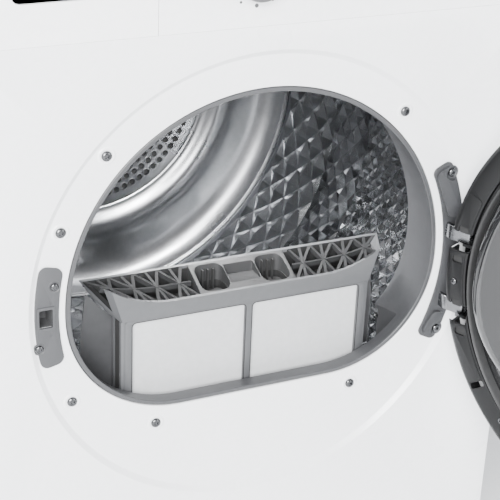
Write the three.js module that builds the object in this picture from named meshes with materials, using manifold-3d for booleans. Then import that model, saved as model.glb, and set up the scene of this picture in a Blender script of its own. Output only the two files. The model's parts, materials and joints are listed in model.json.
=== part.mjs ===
// Front-loading clothes dryer with a heat-pump base, a lift-out lint filter and an open door.
// Units are millimetres and +Z is up. The front faces -Y, and the origin is on the floor under
// the centre of the cabinet. The door stands open and the lint filter is lifted, as at unloading.
import * as THREE from "three";
import { mergeVertices } from "three/addons/utils/BufferGeometryUtils.js";
import Module from "manifold-3d";

const wasm = await Module();
wasm.setup();

// ---- Driving dimensions ----
// Cabinet
const cabinetWidth = 600;
const cabinetDepth = 600;
const cabinetHeight = 850;
const sheet = 1.5;
const gap = 0.3;
const footHeight = 15;
const topCoverThickness = 18;
const controlPanelHeight = 110;
const rearCoverDepth = 10;
const tankFrontWidth = 184;
const ductCoverRadius = 262;

// Loading opening: a circle whose lower part ends in two corner arcs and a flat ledge
const openingRadius = 205;
const openingHeight = 455;
const flatHalf = 84;
const flatDrop = 3;
const seatDepth = 5;
const seatWidth = 32;

// Front bulkhead collar, behind the opening
const lipWidth = 4.5;
const lipClearance = 0.8;
const collarDepth = 66;
const collarFlare = 9;
const collarWall = 3;
const flangeThickness = 2;
const sealThickness = 9;

// Drum
const drumRise = 25;
const drumRadius = 281;
const drumDish = 31;
const drumRearGap = 14;
const rearAirSpace = 30;
const drumSheet = 1.5;
const lifterHeight = 45;
const lifterLength = 400;
const lifterAngle = 168;
const shaftRadius = 12;

// Lint filter, measured from the centre of the opening with the filter seated
const filterHalfWidth = 140;
const filterThickness = 26;
const filterSetback = 25;
const filterHeight = 150;
const filterLift = 100;
const headFlare = 30;
const headDepth = 42;
const fingerHoleX = 34;

// Door
const doorOverlap = 4;
const doorThickness = 60;
const doorInset = 7;
const doorChamfer = 4.5;
const doorOpenAngle = 116;
const hingeInset = 14.1;
const hingeForward = 26.2;
const pinRadius = 3;
const armHeight = 16;
const armCentres = [26.7, -55.4];
const bowlDepth = 17;
const windowBorder = 51;

// Controls
const knobRadius = 26;
const knobDepth = 16;
const buttonRadius = 8;
const startRadius = 11;

// Drive
const motorX = 185;
const motorZ = 95;
const beltWidth = 12;
const beltThickness = 2;
const pulleyRadius = 12;
const idlerRadius = 15;
const rollerRadius = 24.5;
const rollerX = 176;
const beltPlane = 20;

// Facets round a full turn
const facets = { large: 40, medium: 20, small: 12 };

// ---- Derived places ----
const halfWidth = cabinetWidth / 2;
const frontY = -cabinetDepth / 2;
const seatY = frontY + seatDepth;
const seatRadius = openingRadius + seatWidth;
const doorRadius = seatRadius + doorOverlap;
const windowRadius = doorRadius - windowBorder;
const hingeX = doorRadius - hingeInset;
const catchX = -openingRadius - 20;
const platesInner = openingRadius + 7;
const rearY = cabinetDepth / 2 - rearCoverDepth;
const topCoverBase = cabinetHeight - topCoverThickness;
const panelTop = topCoverBase - gap;
const controlBase = topCoverBase - controlPanelHeight;
const drumHeight = openingHeight + drumRise;
const drumOuter = drumRadius + drumSheet;
const flangeBack = seatY + collarDepth - 7;
const drumFront = flangeBack + sealThickness;
const rearPlateY = rearY - rearAirSpace;
const drumRear = rearPlateY - drumRearGap - drumDish;
const cornerRadius = openingRadius - Math.hypot(flatHalf, flatDrop);
const lipInset = lipClearance + lipWidth;
const ledge = -flatDrop - cornerRadius + lipInset;
const headTop = ledge + 1.2;
const headBase = headTop - 15.6;
const headTip = filterHalfWidth + headFlare;
const innerHalf = halfWidth - sheet - gap;

// ---- Finishes ----
const finish = (color, roughness, metalness) =>
  new THREE.MeshStandardMaterial({ color, roughness, metalness });
const white = finish(0xeceef0, 0.35, 0);
const midGrey = finish(0x8f9296, 0.5, 0);
const darkGrey = finish(0x46484c, 0.45, 0);
const black = finish(0x151618, 0.5, 0);
const glass = finish(0x30343a, 0.08, 0);
const stainless = finish(0xc4c6c8, 0.18, 1);
const zinc = finish(0xa9acaf, 0.4, 1);
const meshWhite = finish(0xdfe1e3, 0.7, 0);
const rubber = finish(0x232426, 0.8, 0);
const castMetal = finish(0x6d6f72, 0.55, 0.9);
const copper = finish(0xb07a4d, 0.35, 1);
const boardGreen = finish(0x2f5a3c, 0.6, 0);

// ---- Geometry helpers ----
function closed(geometry) {
  // Shared corners are merged, slivers dropped and the faces turned outwards.
  const bare = geometry.clone();
  for (const name of Object.keys(bare.attributes)) {
    if (name !== "position") bare.deleteAttribute(name);
  }
  const merged = mergeVertices(bare, 1e-3);
  const index = merged.index.array;
  const place = merged.attributes.position;
  const corner = [new THREE.Vector3(), new THREE.Vector3(), new THREE.Vector3()];
  const kept = [];
  let volume = 0;
  for (let i = 0; i < index.length; i += 3) {
    const [a, b, c] = [index[i], index[i + 1], index[i + 2]];
    if (a === b || b === c || c === a) continue;
    kept.push(a, b, c);
    [a, b, c].forEach((vertex, n) => corner[n].fromBufferAttribute(place, vertex));
    volume += corner[0].dot(corner[1].clone().cross(corner[2]));
  }
  if (volume < 0) kept.reverse();
  merged.setIndex(kept);
  return merged;
}

function solid(geometry) {
  const shape = closed(geometry);
  const vertProperties = new Float32Array(shape.attributes.position.array);
  const triVerts = new Uint32Array(shape.index.array);
  return new wasm.Manifold(new wasm.Mesh({ numProp: 3, vertProperties, triVerts }));
}

function geometryOf(manifold) {
  const mesh = manifold.getMesh();
  const geometry = new THREE.BufferGeometry();
  geometry.setAttribute("position", new THREE.BufferAttribute(new Float32Array(mesh.vertProperties), 3));
  geometry.setIndex(Array.from(mesh.triVerts));
  return geometry;
}

function join(...geometries) {
  return geometryOf(geometries.map(solid).reduce((whole, piece) => whole.add(piece)));
}

function cut(base, ...tools) {
  return geometryOf(tools.map(solid).reduce((whole, tool) => whole.subtract(tool), solid(base)));
}

const point = (x, y) => new THREE.Vector2(x, y);

function arc(cx, cy, radius, from, to, steps) {
  return Array.from({ length: steps + 1 }, (_, i) => {
    const angle = from + ((to - from) * i) / steps;
    return point(cx + radius * Math.cos(angle), cy + radius * Math.sin(angle));
  });
}

function circle(radius, steps = facets.large, cx = 0, cy = 0) {
  return arc(cx, cy, radius, 0, 2 * Math.PI, steps).slice(0, -1);
}

function roundedBox2(low, high, radius, steps = 3) {
  const quarter = Math.PI / 2;
  return [
    ...arc(high[0] - radius, low[1] + radius, radius, -quarter, 0, steps),
    ...arc(high[0] - radius, high[1] - radius, radius, 0, quarter, steps),
    ...arc(low[0] + radius, high[1] - radius, radius, quarter, 2 * quarter, steps),
    ...arc(low[0] + radius, low[1] + radius, radius, 2 * quarter, 3 * quarter, steps),
  ];
}

function ringSector(inner, outer, middle, half, steps = 10) {
  return [
    ...arc(0, 0, outer, middle - half, middle + half, steps),
    ...arc(0, 0, inner, middle + half, middle - half, steps),
  ];
}

function extruded(outline, holes, length) {
  const shape = new THREE.Shape(outline);
  shape.holes = holes.map((hole) => new THREE.Path(hole));
  return new THREE.ExtrudeGeometry(shape, { depth: length, bevelEnabled: false, steps: 1 });
}

// A plate drawn in X and Z, from front to back along Y.
function plateY(outline, front, back, holes = []) {
  return extruded(outline, holes, back - front).rotateX(Math.PI / 2).translate(0, back, 0);
}

// A plate drawn in X and Y, from low to high along Z.
function plateZ(outline, low, high, holes = []) {
  return extruded(outline, holes, high - low).translate(0, 0, low);
}

// A bar drawn in Y and Z, from left to right along X.
function barX(outline, left, right, holes = []) {
  const turn = new THREE.Matrix4().set(0, 0, 1, left, 1, 0, 0, 0, 0, 1, 0, 0, 0, 0, 0, 1);
  return extruded(outline, holes, right - left).applyMatrix4(turn);
}

function box(low, high) {
  const size = high.map((value, i) => value - low[i]);
  const middle = high.map((value, i) => (value + low[i]) / 2);
  return new THREE.BoxGeometry(...size).translate(...middle);
}

// A body turned about the Y axis from [radius, y] points.
function turned(profile, steps = facets.large) {
  const [first, last] = [profile[0], profile[profile.length - 1]];
  const points = profile.map(([radius, y]) => point(radius, y));
  if (first[0] > 0 || last[0] > 0) points.push(points[0].clone());
  return closed(new THREE.LatheGeometry(points, steps));
}

function rod(radius, front, back, x = 0, z = 0, steps = facets.medium) {
  return turned([[0, front], [radius, front], [radius, back], [0, back]], steps).translate(x, 0, z);
}

function tube(inner, outer, front, back, x = 0, z = 0, steps = facets.medium) {
  return turned([[inner, front], [outer, front], [outer, back], [inner, back]], steps).translate(x, 0, z);
}

function post(radius, low, high, x = 0, y = 0, steps = facets.small) {
  return plateZ(circle(radius, steps, x, y), low, high);
}

// A body through sections of equally many points, each drawn in X and Z at its own Y.
function loft(sections) {
  const count = sections[0].outline.length;
  const last = (sections.length - 1) * count;
  const corners = sections.flatMap(({ y, outline }) => outline.flatMap((p) => [p.x, y, p.y]));
  const faces = [];
  for (let row = 0; row < last; row += count) {
    for (let i = 0; i < count; i++) {
      const [a, b] = [row + i, row + ((i + 1) % count)];
      faces.push(a, a + count, b, b, a + count, b + count);
    }
  }
  for (const [a, b, c] of THREE.ShapeUtils.triangulateShape(sections[0].outline, [])) faces.push(a, b, c);
  for (const [a, b, c] of THREE.ShapeUtils.triangulateShape(sections.at(-1).outline, [])) {
    faces.push(last + a, last + c, last + b);
  }
  const geometry = new THREE.BufferGeometry();
  geometry.setAttribute("position", new THREE.BufferAttribute(new Float32Array(corners), 3));
  geometry.setIndex(faces);
  return geometry;
}

function openingOutline(offset) {
  const tilt = Math.atan2(flatDrop, flatHalf);
  const corner = cornerRadius + offset;
  return [
    ...arc(0, 0, openingRadius + offset, -tilt, Math.PI + tilt, facets.large * 0.75),
    ...arc(-flatHalf, -flatDrop, corner, Math.PI + tilt, 1.5 * Math.PI, facets.small / 2).slice(1),
    ...arc(flatHalf, -flatDrop, corner, 1.5 * Math.PI, 2 * Math.PI - tilt, facets.small / 2).slice(0, -1),
  ];
}

function part(name, geometry, material) {
  const mesh = new THREE.Mesh(geometry, material);
  mesh.name = name;
  return mesh;
}

// ---- Cabinet ----
const flap = { left: -272, right: -52, low: 42, high: 192 };

function frontPanel() {
  const outer = seatRadius + seatDepth;
  const bottom = footHeight + 10;
  const top = controlBase - gap;
  const back = frontY + sheet;
  const flapHole = roundedBox2([flap.left, flap.low], [flap.right, flap.high], 6);
  const wide = roundedBox2([-halfWidth, bottom], [halfWidth, top], 2);
  const face = plateY(wide, frontY, back, [circle(outer + 1, facets.large, 0, openingHeight), flapHole]);
  const dish = turned([
    [0, seatY], [seatRadius, seatY], [outer, frontY], [outer + 2, frontY],
    [outer + 2, back], [outer + 0.6, back], [seatRadius + 0.6, seatY + sheet], [0, seatY + sheet],
  ]).translate(0, 0, openingHeight);
  const opening = plateY(openingOutline(0), seatY - 5, seatY + 5).translate(0, 0, openingHeight);
  const catchHole = box(
    [catchX - 10, seatY - 5, openingHeight - 13], [catchX + 10, seatY + 5, openingHeight + 13]);
  const inside = halfWidth - sheet - gap;
  const returns = [-1, 1].map((side) => {
    const edges = [side * inside, side * (inside - sheet)].sort((a, b) => a - b);
    return box([edges[0], back - 0.5, bottom + 2], [edges[1], back + 12, top - 2]);
  });
  return cut(join(face, dish, ...returns), opening, catchHole);
}

function sidePanel(side) {
  const [front, back] = [frontY + sheet + gap, rearY];
  const flangeWidth = 15;
  const outline = [
    [halfWidth, front], [halfWidth, back - sheet - gap], [halfWidth - flangeWidth, back - sheet - gap],
    [halfWidth - flangeWidth, back - 2 * sheet - gap], [halfWidth - sheet, back - 2 * sheet - gap],
    [halfWidth - sheet, front],
  ].map(([x, y]) => point(side * x, y));
  const shell = plateZ(side > 0 ? outline : outline.reverse(), footHeight + 10, panelTop);
  const room = (side > 0 ? fasciaDepth : tankFrontDepth) + gap;
  const fasciaRoom = box(
    [-halfWidth - 1, frontY - 1, controlBase - gap], [halfWidth + 1, frontY + room, panelTop + 1]);
  return cut(shell, fasciaRoom);
}

const inletBox = { left: 220, right: 262, low: 80, high: 112 };

function rearPanel() {
  const low = footHeight + 10;
  const wide = roundedBox2([-halfWidth, low], [halfWidth, panelTop], 2);
  const airHole = circle(ductCoverRadius - 37, facets.large, 0, drumHeight);
  const inlet = roundedBox2([inletBox.left, inletBox.low], [inletBox.right, inletBox.high], 3);
  return plateY(wide, rearY - sheet, rearY, [airHole, inlet]);
}

function rearDuctCover() {
  const depth = cabinetDepth / 2;
  const [rim, low, high] = [ductCoverRadius, ductCoverRadius - 27, ductCoverRadius - 57];
  return turned([
    [0, depth - sheet], [high, depth - sheet], [low, rearY + gap], [rim, rearY + gap],
    [rim, rearY + gap + sheet], [low + 1, rearY + gap + sheet], [high + 1, depth], [0, depth],
  ]).translate(0, 0, drumHeight);
}

function topCover() {
  const bevel = 3;
  const outline = roundedBox2(
    [-halfWidth + bevel, frontY + bevel], [halfWidth - bevel, rearY - bevel], 8, 5);
  const depth = topCoverThickness - 2 * bevel;
  const options = { depth, bevelThickness: bevel, bevelSize: bevel, bevelSegments: 3 };
  return new THREE.ExtrudeGeometry(new THREE.Shape(outline), options).translate(0, 0, topCoverBase + bevel);
}

function basePan() {
  const wall = 3;
  const [x, front, back] = [innerHalf - 4, frontY + 20, rearY - 6];
  const [low, high] = [footHeight, 70];
  const tray = box([-x, front, low], [x, back, high]);
  const hollow = box([-x + wall, front + wall, low + 4], [x - wall, back - wall, high + 10]);
  const stems = footPlaces.map(([fx, fy]) => post(footStem + gap, low - 5, low + 10, fx, fy));
  return cut(tray, hollow, ...stems);
}

const footStem = 5;
const footPlaces = [[-1, -1], [1, -1], [-1, 1], [1, 1]].map(([sx, sy]) => [
  sx * (halfWidth - 45), sy * (cabinetDepth / 2 - 60),
]);

function levellingFoot() {
  return join(post(21, 0, footHeight - 2), post(footStem, footHeight - 3, footHeight + 26));
}

function serviceFlap() {
  const inner = gap * 4;
  const outline = roundedBox2(
    [flap.left + inner, flap.low + inner], [flap.right - inner, flap.high - inner], 5);
  const middle = (flap.left + flap.right) / 2;
  const grip = roundedBox2([middle - 30, flap.high - 26], [middle + 30, flap.high - 12], 5);
  return plateY(outline, frontY, frontY + 2.5, [grip]);
}

// ---- Controls, on the fascia above the door ----
const fasciaLean = 6;
const fasciaBreak = 45;
const fasciaDepth = 42;
const fasciaWall = 3;
const tankFrontDepth = 30;
const tankEdge = -halfWidth + tankFrontWidth;
const controls = {
  knob: tankEdge + 96, power: tankEdge + 28, display: [tankEdge + 164, tankEdge + 284],
  options: tankEdge + 321, start: tankEdge + 374, height: controlBase + 52,
};

function fasciaShell(left, right) {
  const wall = fasciaWall;
  const [low, high, back] = [controlBase, panelTop, frontY + fasciaDepth];
  const bend = high - fasciaBreak;
  const outer = [
    [frontY, low], [back, low], [back, high], [frontY + fasciaLean, high], [frontY, bend],
  ].map(([y, z]) => point(y, z));
  const inner = [
    [frontY + wall, low + wall], [back + 5, low + wall], [back + 5, high - wall],
    [frontY + wall + fasciaLean, high - wall], [frontY + wall, bend],
  ].map(([y, z]) => point(y, z));
  return cut(barX(outer, left, right), barX(inner, left + wall, right - wall));
}

function controlPanel() {
  const shell = fasciaShell(tankEdge + gap, halfWidth);
  const [front, back] = [frontY - 5, frontY + 20];
  const through = [
    [controls.knob, knobRadius * 0.45], [controls.power, buttonRadius + gap],
    [controls.options, buttonRadius + gap], [controls.start, startRadius + gap],
  ].map(([x, radius]) => rod(radius, front, back, x, controls.height));
  const [left, right] = controls.display;
  const outline = roundedBox2([left, controls.height - 17], [right, controls.height + 17], 3);
  const view = plateY(outline, front, back);
  return cut(shell, ...through, view);
}

function displayWindow() {
  const [left, right] = controls.display;
  const [low, high] = [controls.height - 17, controls.height + 17];
  const outline = roundedBox2([left + gap, low + gap], [right - gap, high - gap], 3);
  return plateY(outline, frontY - 0.4, frontY + 2.4);
}

function programKnob() {
  const face = -knobDepth;
  return join(
    turned([
      [0, face], [knobRadius - 4, face], [knobRadius - 1.5, face + 1.5], [knobRadius, -gap], [0, -gap],
    ]),
    rod(8, -2, 18),
    box([-1.5, face - 0.8, 8], [1.5, face + 1, knobRadius - 4.5]),
  );
}

function pushButton(radius) {
  return turned([[0, -4], [radius - 1, -4], [radius, -3], [radius, 12], [0, 12]], facets.medium);
}

function controlBoard() {
  return box([tankEdge + 4, frontY + 30, controlBase + 14], [halfWidth - 15, frontY + 32, panelTop - 10]);
}

// ---- Condensate tank ----
const tank = {
  front: frontY + tankFrontDepth,
  back: rearY - 100,
  low: topCoverBase - 70,
  high: topCoverBase - 10,
  right: tankEdge - 9,
};

function waterTank() {
  const wall = 2.5;
  const [left, right] = [-innerHalf + 8, tank.right];
  const body = box([left, tank.front, tank.low], [right, tank.back, tank.high]);
  const hollow = box(
    [left + wall, tank.front + wall, tank.low + wall], [right - wall, tank.back - wall, tank.high - wall]);
  const spout = post(14, tank.high - 5, tank.high + 5, (left + right) / 2, tank.back - 40);
  return cut(body, hollow, spout);
}

function waterTankFront() {
  const shell = fasciaShell(-halfWidth, tankEdge - gap);
  const inside = box(
    [-halfWidth - 1, tank.front - gap, controlBase - 1], [tankEdge, frontY + fasciaDepth + 5, panelTop + 1]);
  const grip = plateY(
    roundedBox2([-halfWidth + 50, controls.height - 14], [tankEdge - 50, controls.height + 14], 8),
    frontY - 5, frontY + 20);
  const skin = cut(shell, inside);
  return cut(skin, grip);
}

// ---- Front bulkhead, seal and filter duct ----
const ductWall = 2.5;
const ductClearance = 1.5;
const bulkheadHalf = innerHalf - 6;

function pocketSize(extra) {
  const front = seatY + filterSetback - 6 - extra;
  const side = headTip + 5.5 + extra;
  return box(
    [-side, front, openingHeight + headBase - 2 - extra],
    [side, flangeBack + (extra > 0 ? 0 : 20), openingHeight]);
}

function ductSpace(extra, low, high) {
  const side = filterHalfWidth + ductClearance + extra;
  const front = seatY + filterSetback - ductClearance - extra;
  const back = seatY + filterSetback + filterThickness + ductClearance + extra;
  return box([-side, front, low], [side, back, high]);
}

const lifted = (y, outline) => ({ y, outline: outline.map((p) => point(p.x, p.y + openingHeight)) });

function collarBody(extra) {
  return loft([
    lifted(seatY + 0.5, openingOutline(-lipClearance + extra)),
    lifted(seatY + sheet + gap, openingOutline(-lipClearance + extra)),
    lifted(seatY + collarDepth + extra, openingOutline(-lipInset + collarFlare + collarWall + extra)),
  ]);
}

function frontBulkhead() {
  const back = seatY + collarDepth;
  const throat = loft([
    lifted(seatY - 1, openingOutline(-lipInset)),
    lifted(seatY + sheet + gap, openingOutline(-lipInset)),
    lifted(back + 1, openingOutline(-lipInset + collarFlare)),
  ]);
  const [low, high] = [openingHeight - seatRadius - 13, controlBase - 8];
  const edge = roundedBox2([-bulkheadHalf, low], [bulkheadHalf, high], 10);
  const flange = plateY(edge, flangeBack - flangeThickness, flangeBack);
  const shaftTop = openingHeight + headBase;
  const shaftBottom = shaftTop - filterHeight - 8;
  const shaft = ductSpace(ductWall, shaftBottom, shaftTop - 1);
  const walls = join(collarBody(0), flange, pocketSize(collarWall), shaft);
  return cut(walls, throat, pocketSize(0), ductSpace(0, shaftBottom - 5, shaftTop + 5));
}

function drumFrontSeal() {
  const [front, back] = [flangeBack + gap, drumFront - gap];
  const ring = tube(drumRadius - 19, drumRadius - 2, front, back, 0, drumHeight, facets.large);
  return cut(ring, collarBody(gap));
}

// ---- Latch and hinge on the door seat ----
const plateOuter = seatRadius - 1;

function latchPlate() {
  const half = (13.5 * Math.PI) / 180;
  const plate = plateY(ringSector(platesInner, plateOuter, Math.PI, half), -1.8, -gap);
  const frame = plateY(roundedBox2([catchX - 9, -12.5], [catchX + 9, 12.5], 2), -2.6, -1.2);
  const hole = plateY(roundedBox2([catchX - 7, -10], [catchX + 7, 10], 1.5), -6, 5);
  return cut(join(plate, frame), hole);
}

function doorLock() {
  // The catch behind the latch plate that the door's hook enters.
  const [front, back] = [sheet + gap, 34];
  const body = box([catchX - 12, front, -22], [catchX + 12, back, 22]);
  return cut(body, box([catchX - 7, front - 5, -11], [catchX + 7, back - 12, 11]));
}

function hingeArm(centre) {
  const outline = [
    ...arc(hingeX, -hingeForward, 6, (-0.75 * Math.PI), 0.3 * Math.PI, 8),
    point(hingeX - 2.9, -hingeForward + 10.2), point(platesInner + 5.5, -8), point(platesInner + 5, -1),
    point(platesInner + 0.5, -1), point(platesInner + 0.5, -13), point(hingeX - 7.4, -hingeForward + 4.2),
  ];
  return plateZ(outline, centre - armHeight / 2, centre + armHeight / 2);
}

function hingePlate() {
  const half = (26.5 * Math.PI) / 180;
  const plate = plateY(ringSector(platesInner, plateOuter, 0, half, 16), -2.3, -gap);
  const arms = armCentres.map(hingeArm);
  const pins = armCentres.map(
    (z) => post(pinRadius + gap, z - armHeight, z + armHeight, hingeX, -hingeForward));
  return cut(join(plate, ...arms), ...pins);
}

function hingePin() {
  const reach = armHeight / 2 + 5;
  return post(pinRadius, armCentres[1] - reach, armCentres[0] + reach, hingeX, -hingeForward);
}

// ---- Door, drawn closed: x and z from the centre of the opening, y from the seat plane ----
const doorInnerFace = -doorInset;
const frameWall = 3;
const coverBottom = doorInnerFace - doorChamfer;
const grooveInner = openingRadius + 1;
const grooveOuter = openingRadius + 11;

function armNotches(left, right) {
  return armCentres.map((z) => {
    const half = armHeight / 2 + 5;
    return box([left, -hingeForward - 13, z - half], [right, 2, z + half]);
  });
}

function doorFrame() {
  const [front, rim] = [-doorThickness, doorRadius];
  const inner = windowRadius;
  const ring = turned([
    [rim, coverBottom], [rim, front + 20], [rim - 2.5, front + 12], [rim - 7, front + 5], [rim - 13, front],
    [inner, front], [inner, front + frameWall], [rim - 15, front + frameWall], [rim - 9.5, front + 7],
    [rim - 5.5, front + 13], [rim - frameWall, front + 21], [rim - frameWall, coverBottom],
  ]);
  return cut(ring, ...armNotches(rim / 2, rim + 10));
}

function doorInnerCover() {
  const rim = doorRadius;
  const skirt = rim - frameWall - gap;
  const top = coverBottom + gap;
  const ring = turned([
    [rim, top], [rim - doorChamfer, doorInnerFace], [grooveOuter, doorInnerFace], [grooveOuter, -13],
    [grooveInner, -13], [grooveInner, -16], [grooveOuter + 3, -16], [grooveOuter + 3, doorInnerFace - 2.5],
    [skirt - 3.5, doorInnerFace - 2.5], [skirt - 2.5, top - 1], [skirt - 2.5, -22], [skirt, -22],
    [skirt, top],
  ]);
  const hookHole = box([catchX - 5, -30, -9], [catchX + 5, 0, 9]);
  return cut(ring, hookHole, ...armNotches(openingRadius + 4.5, rim + 10));
}

function doorSeal() {
  const [inner, outer] = [openingRadius + 2, openingRadius + 6];
  return turned([[inner, -12.7], [outer, -12.7], [outer, -3], [outer - 1.5, -0.5], [inner + 0.5, -3]]);
}

function doorBowl() {
  const flange = plateY(circle(grooveInner - gap), -16, -13);
  const cup = loft([
    { y: -14, outline: openingOutline(-6.5) },
    { y: bowlDepth - 5, outline: openingOutline(-8.5) },
    { y: bowlDepth, outline: openingOutline(-14) },
  ]);
  const hollow = loft([
    { y: -18, outline: openingOutline(-9.5) },
    { y: bowlDepth - 7, outline: openingOutline(-11.5) },
    { y: bowlDepth - 3, outline: openingOutline(-16) },
  ]);
  return cut(join(flange, cup), hollow);
}

function doorWindow() {
  const [edge, front] = [windowRadius - gap, -doorThickness];
  const seat = front + frameWall + gap;
  return turned([
    [0, front - 2], [edge * 0.5, front - 1.6], [edge * 0.8, front - 0.8], [edge, front + 0.5], [edge, seat],
    [edge + 10, seat], [edge + 10, seat + 2.5], [0, seat + 1],
  ]);
}

function doorHook() {
  const outline = [[-20, -7], [14, -7], [14, 2], [8, 7], [4, 7], [4, 0], [-4, 0], [-4, 7], [-20, 7]];
  return barX(outline.map(([y, z]) => point(y, z)), catchX - 3, catchX + 3);
}

function hingeLeaf() {
  const [low, high] = [armCentres[1] - 20, armCentres[0] + 20];
  const back = -hingeForward - 12;
  const plate = box([hingeX - 21.9, back, low], [hingeX - 4.9, back + 2.5, high]);
  const lugs = armCentres.flatMap((z) => [-1, 1].map((side) => {
    const near = z + side * (armHeight / 2 + gap);
    const far = near + side * 3;
    return box(
      [hingeX - 8.9, back + 1, Math.min(near, far)], [hingeX + 4.1, -hingeForward + 5, Math.max(near, far)]);
  }));
  const pins = armCentres.map((z) => post(pinRadius + gap, z - 20, z + 20, hingeX, -hingeForward));
  return cut(join(plate, ...lugs), ...pins);
}

// ---- Lint filter, drawn seated: x and z from the centre of the opening, y from the seat plane ----
function filterHead() {
  const [front, back] = [filterSetback - 2, filterSetback + headDepth - 1];
  const count = 18;
  const lipRadius = cornerRadius - lipInset;
  const shoulder = filterHalfWidth + 10;
  const along = Array.from({ length: count + 1 }, (_, i) => 1 - (2 * i) / count);
  const frontTop = along.map((t) => {
    const past = Math.max(0, Math.abs(t) * shoulder - flatHalf);
    return point(t * shoulder, headTop + lipRadius - Math.sqrt(lipRadius ** 2 - past ** 2));
  });
  const backTop = along.map((t) => point(t * headTip, headTop + 17.4));
  const base = filterHalfWidth - 1;
  const head = loft([
    { y: front, outline: [point(-base, headBase), point(base, headBase), ...frontTop] },
    { y: back, outline: [point(-base - 10, headBase), point(base + 10, headBase), ...backTop] },
  ]);
  const throat = box(
    [-base + 4, front + 4, headBase - 5], [base - 4, filterSetback + filterThickness - 4, headTop - 3]);
  const fingerHoles = [-1, 1].map((side) => plateZ(
    roundedBox2([side * fingerHoleX - 14, front + 6], [side * fingerHoleX + 14, front + 26], 5),
    headBase - 5, headTop + 40));
  const vents = [-1, 1].flatMap((side) => [78, 104].map((x) => plateZ(
    roundedBox2([side * x - 9, front + 8], [side * x + 9, front + 24], 2, 2), headBase - 5, headTop + 40)));
  return cut(head, throat, ...fingerHoles, ...vents);
}

function filterFrame() {
  const wall = 3;
  const [front, back] = [filterSetback, filterSetback + filterThickness];
  const [top, bottom] = [headBase - gap, headBase - filterHeight];
  const w = filterHalfWidth;
  const shell = box([-w, front, bottom], [w, back, top]);
  const hollow = box([-w + wall, front + wall, bottom + wall], [w - wall, back - wall, top + 5]);
  const panes = [-1, 1].map((side) => {
    const edges = [side * 3, side * (w - 11)].sort((a, b) => a - b);
    return plateY(roundedBox2([edges[0], bottom + 12], [edges[1], top - 2], 3), front - 5, back + 5);
  });
  return cut(shell, hollow, ...panes);
}

function filterMesh() {
  const inset = 3 + gap;
  const [front, back] = [filterSetback + inset, filterSetback + filterThickness - inset];
  const [top, bottom] = [headBase - 2, headBase - filterHeight + inset];
  const w = filterHalfWidth - inset;
  return cut(
    box([-w, front, bottom], [w, back, top]),
    box([-w + 1.2, front + 1.2, bottom + 1.2], [w - 1.2, back - 1.2, top + 5]));
}

// ---- Drum, drawn about its own axis with y from the seat plane ----
const drumFrontLocal = drumFront - seatY;
const drumRearLocal = drumRear - seatY;

function drumShell() {
  const [front, rear] = [drumFrontLocal, drumRearLocal];
  return turned([
    [drumRadius - 6, front], [drumOuter, front], [drumOuter, rear], [drumRadius, rear],
    [drumRadius, front + drumSheet], [drumRadius - 6, front + drumSheet],
  ]);
}

function drumRearPlate() {
  // The dish is stamped: a deep rim, one raised ring and a flat perforated middle.
  const start = drumRearLocal + gap;
  const deep = start + drumDish - drumSheet;
  const inner = [
    [0, deep], [drumRadius - 121, deep], [drumRadius - 89, deep - 12], [drumRadius - 76, deep - 12],
    [drumRadius - 20, deep - 7],
    [drumRadius - 6, start + 14], [drumRadius, start],
  ];
  const outer = inner.slice(0, -1).map(([radius, y]) => [radius, y + drumSheet]).reverse();
  return turned([...inner, [drumOuter, start], [drumOuter, start + drumSheet], ...outer]);
}

function lifter() {
  // The foot is a flat chord inside the faceted wall.
  const halfFoot = 30;
  const foot = Math.sqrt((drumRadius * Math.cos(Math.PI / facets.large)) ** 2 - halfFoot ** 2) - gap;
  const crest = drumRadius - lifterHeight;
  const outline = [
    point(-halfFoot, foot), point(-24, foot - 20), point(-12, crest + 4), point(-5, crest), point(5, crest),
    point(12, crest + 4), point(24, foot - 20), point(halfFoot, foot),
  ];
  const middle = (drumFrontLocal + drumRearLocal) / 2;
  return plateY(outline, middle - lifterLength / 2, middle + lifterLength / 2);
}

function drumShaft() {
  const start = drumRearLocal + gap + drumDish + gap;
  const end = rearPlateY - seatY + 16;
  return turned([
    [0, start], [70, start], [70, start + 3], [shaftRadius + 6, start + 7], [shaftRadius, start + 9],
    [shaftRadius, end], [0, end],
  ], facets.medium);
}

function rearBulkhead() {
  const outline = roundedBox2(
    [-bulkheadHalf, drumHeight - drumRadius + 6], [bulkheadHalf, panelTop - 80], 12);
  const holes = [circle(21, facets.medium, 0, drumHeight)];
  for (let i = 0; i < 6; i++) {
    const angle = (i * Math.PI) / 3;
    holes.push(circle(42, facets.small, 115 * Math.cos(angle), drumHeight + 115 * Math.sin(angle)));
  }
  return plateY(outline, rearPlateY, rearPlateY + 2, holes);
}

function drumBearing() {
  const [front, back] = [rearPlateY - 3, rearPlateY + 14];
  return turned([
    [shaftRadius + gap, front], [19, front], [20.7, front + 2], [20.7, rearPlateY + 2 + gap],
    [32, rearPlateY + 2 + gap], [32, rearPlateY + 6], [20.7, rearPlateY + 6], [20.7, back],
    [shaftRadius + gap, back],
  ], facets.medium).translate(0, 0, drumHeight);
}

// ---- Drum support and drive ----
const rollerZ = drumHeight - Math.sqrt((drumOuter + gap + rollerRadius) ** 2 - rollerX ** 2);

function rollerAxle(side) {
  const flangeFront = flangeBack + gap;
  return join(
    rod(17, flangeFront, drumFront - 2, side * rollerX, rollerZ, facets.small),
    rod(6, drumFront - 3, drumFront + 27, side * rollerX, rollerZ, facets.small));
}

function supportRoller() {
  return tube(6 + gap, rollerRadius, drumFront + 1, drumFront + 21);
}

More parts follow.
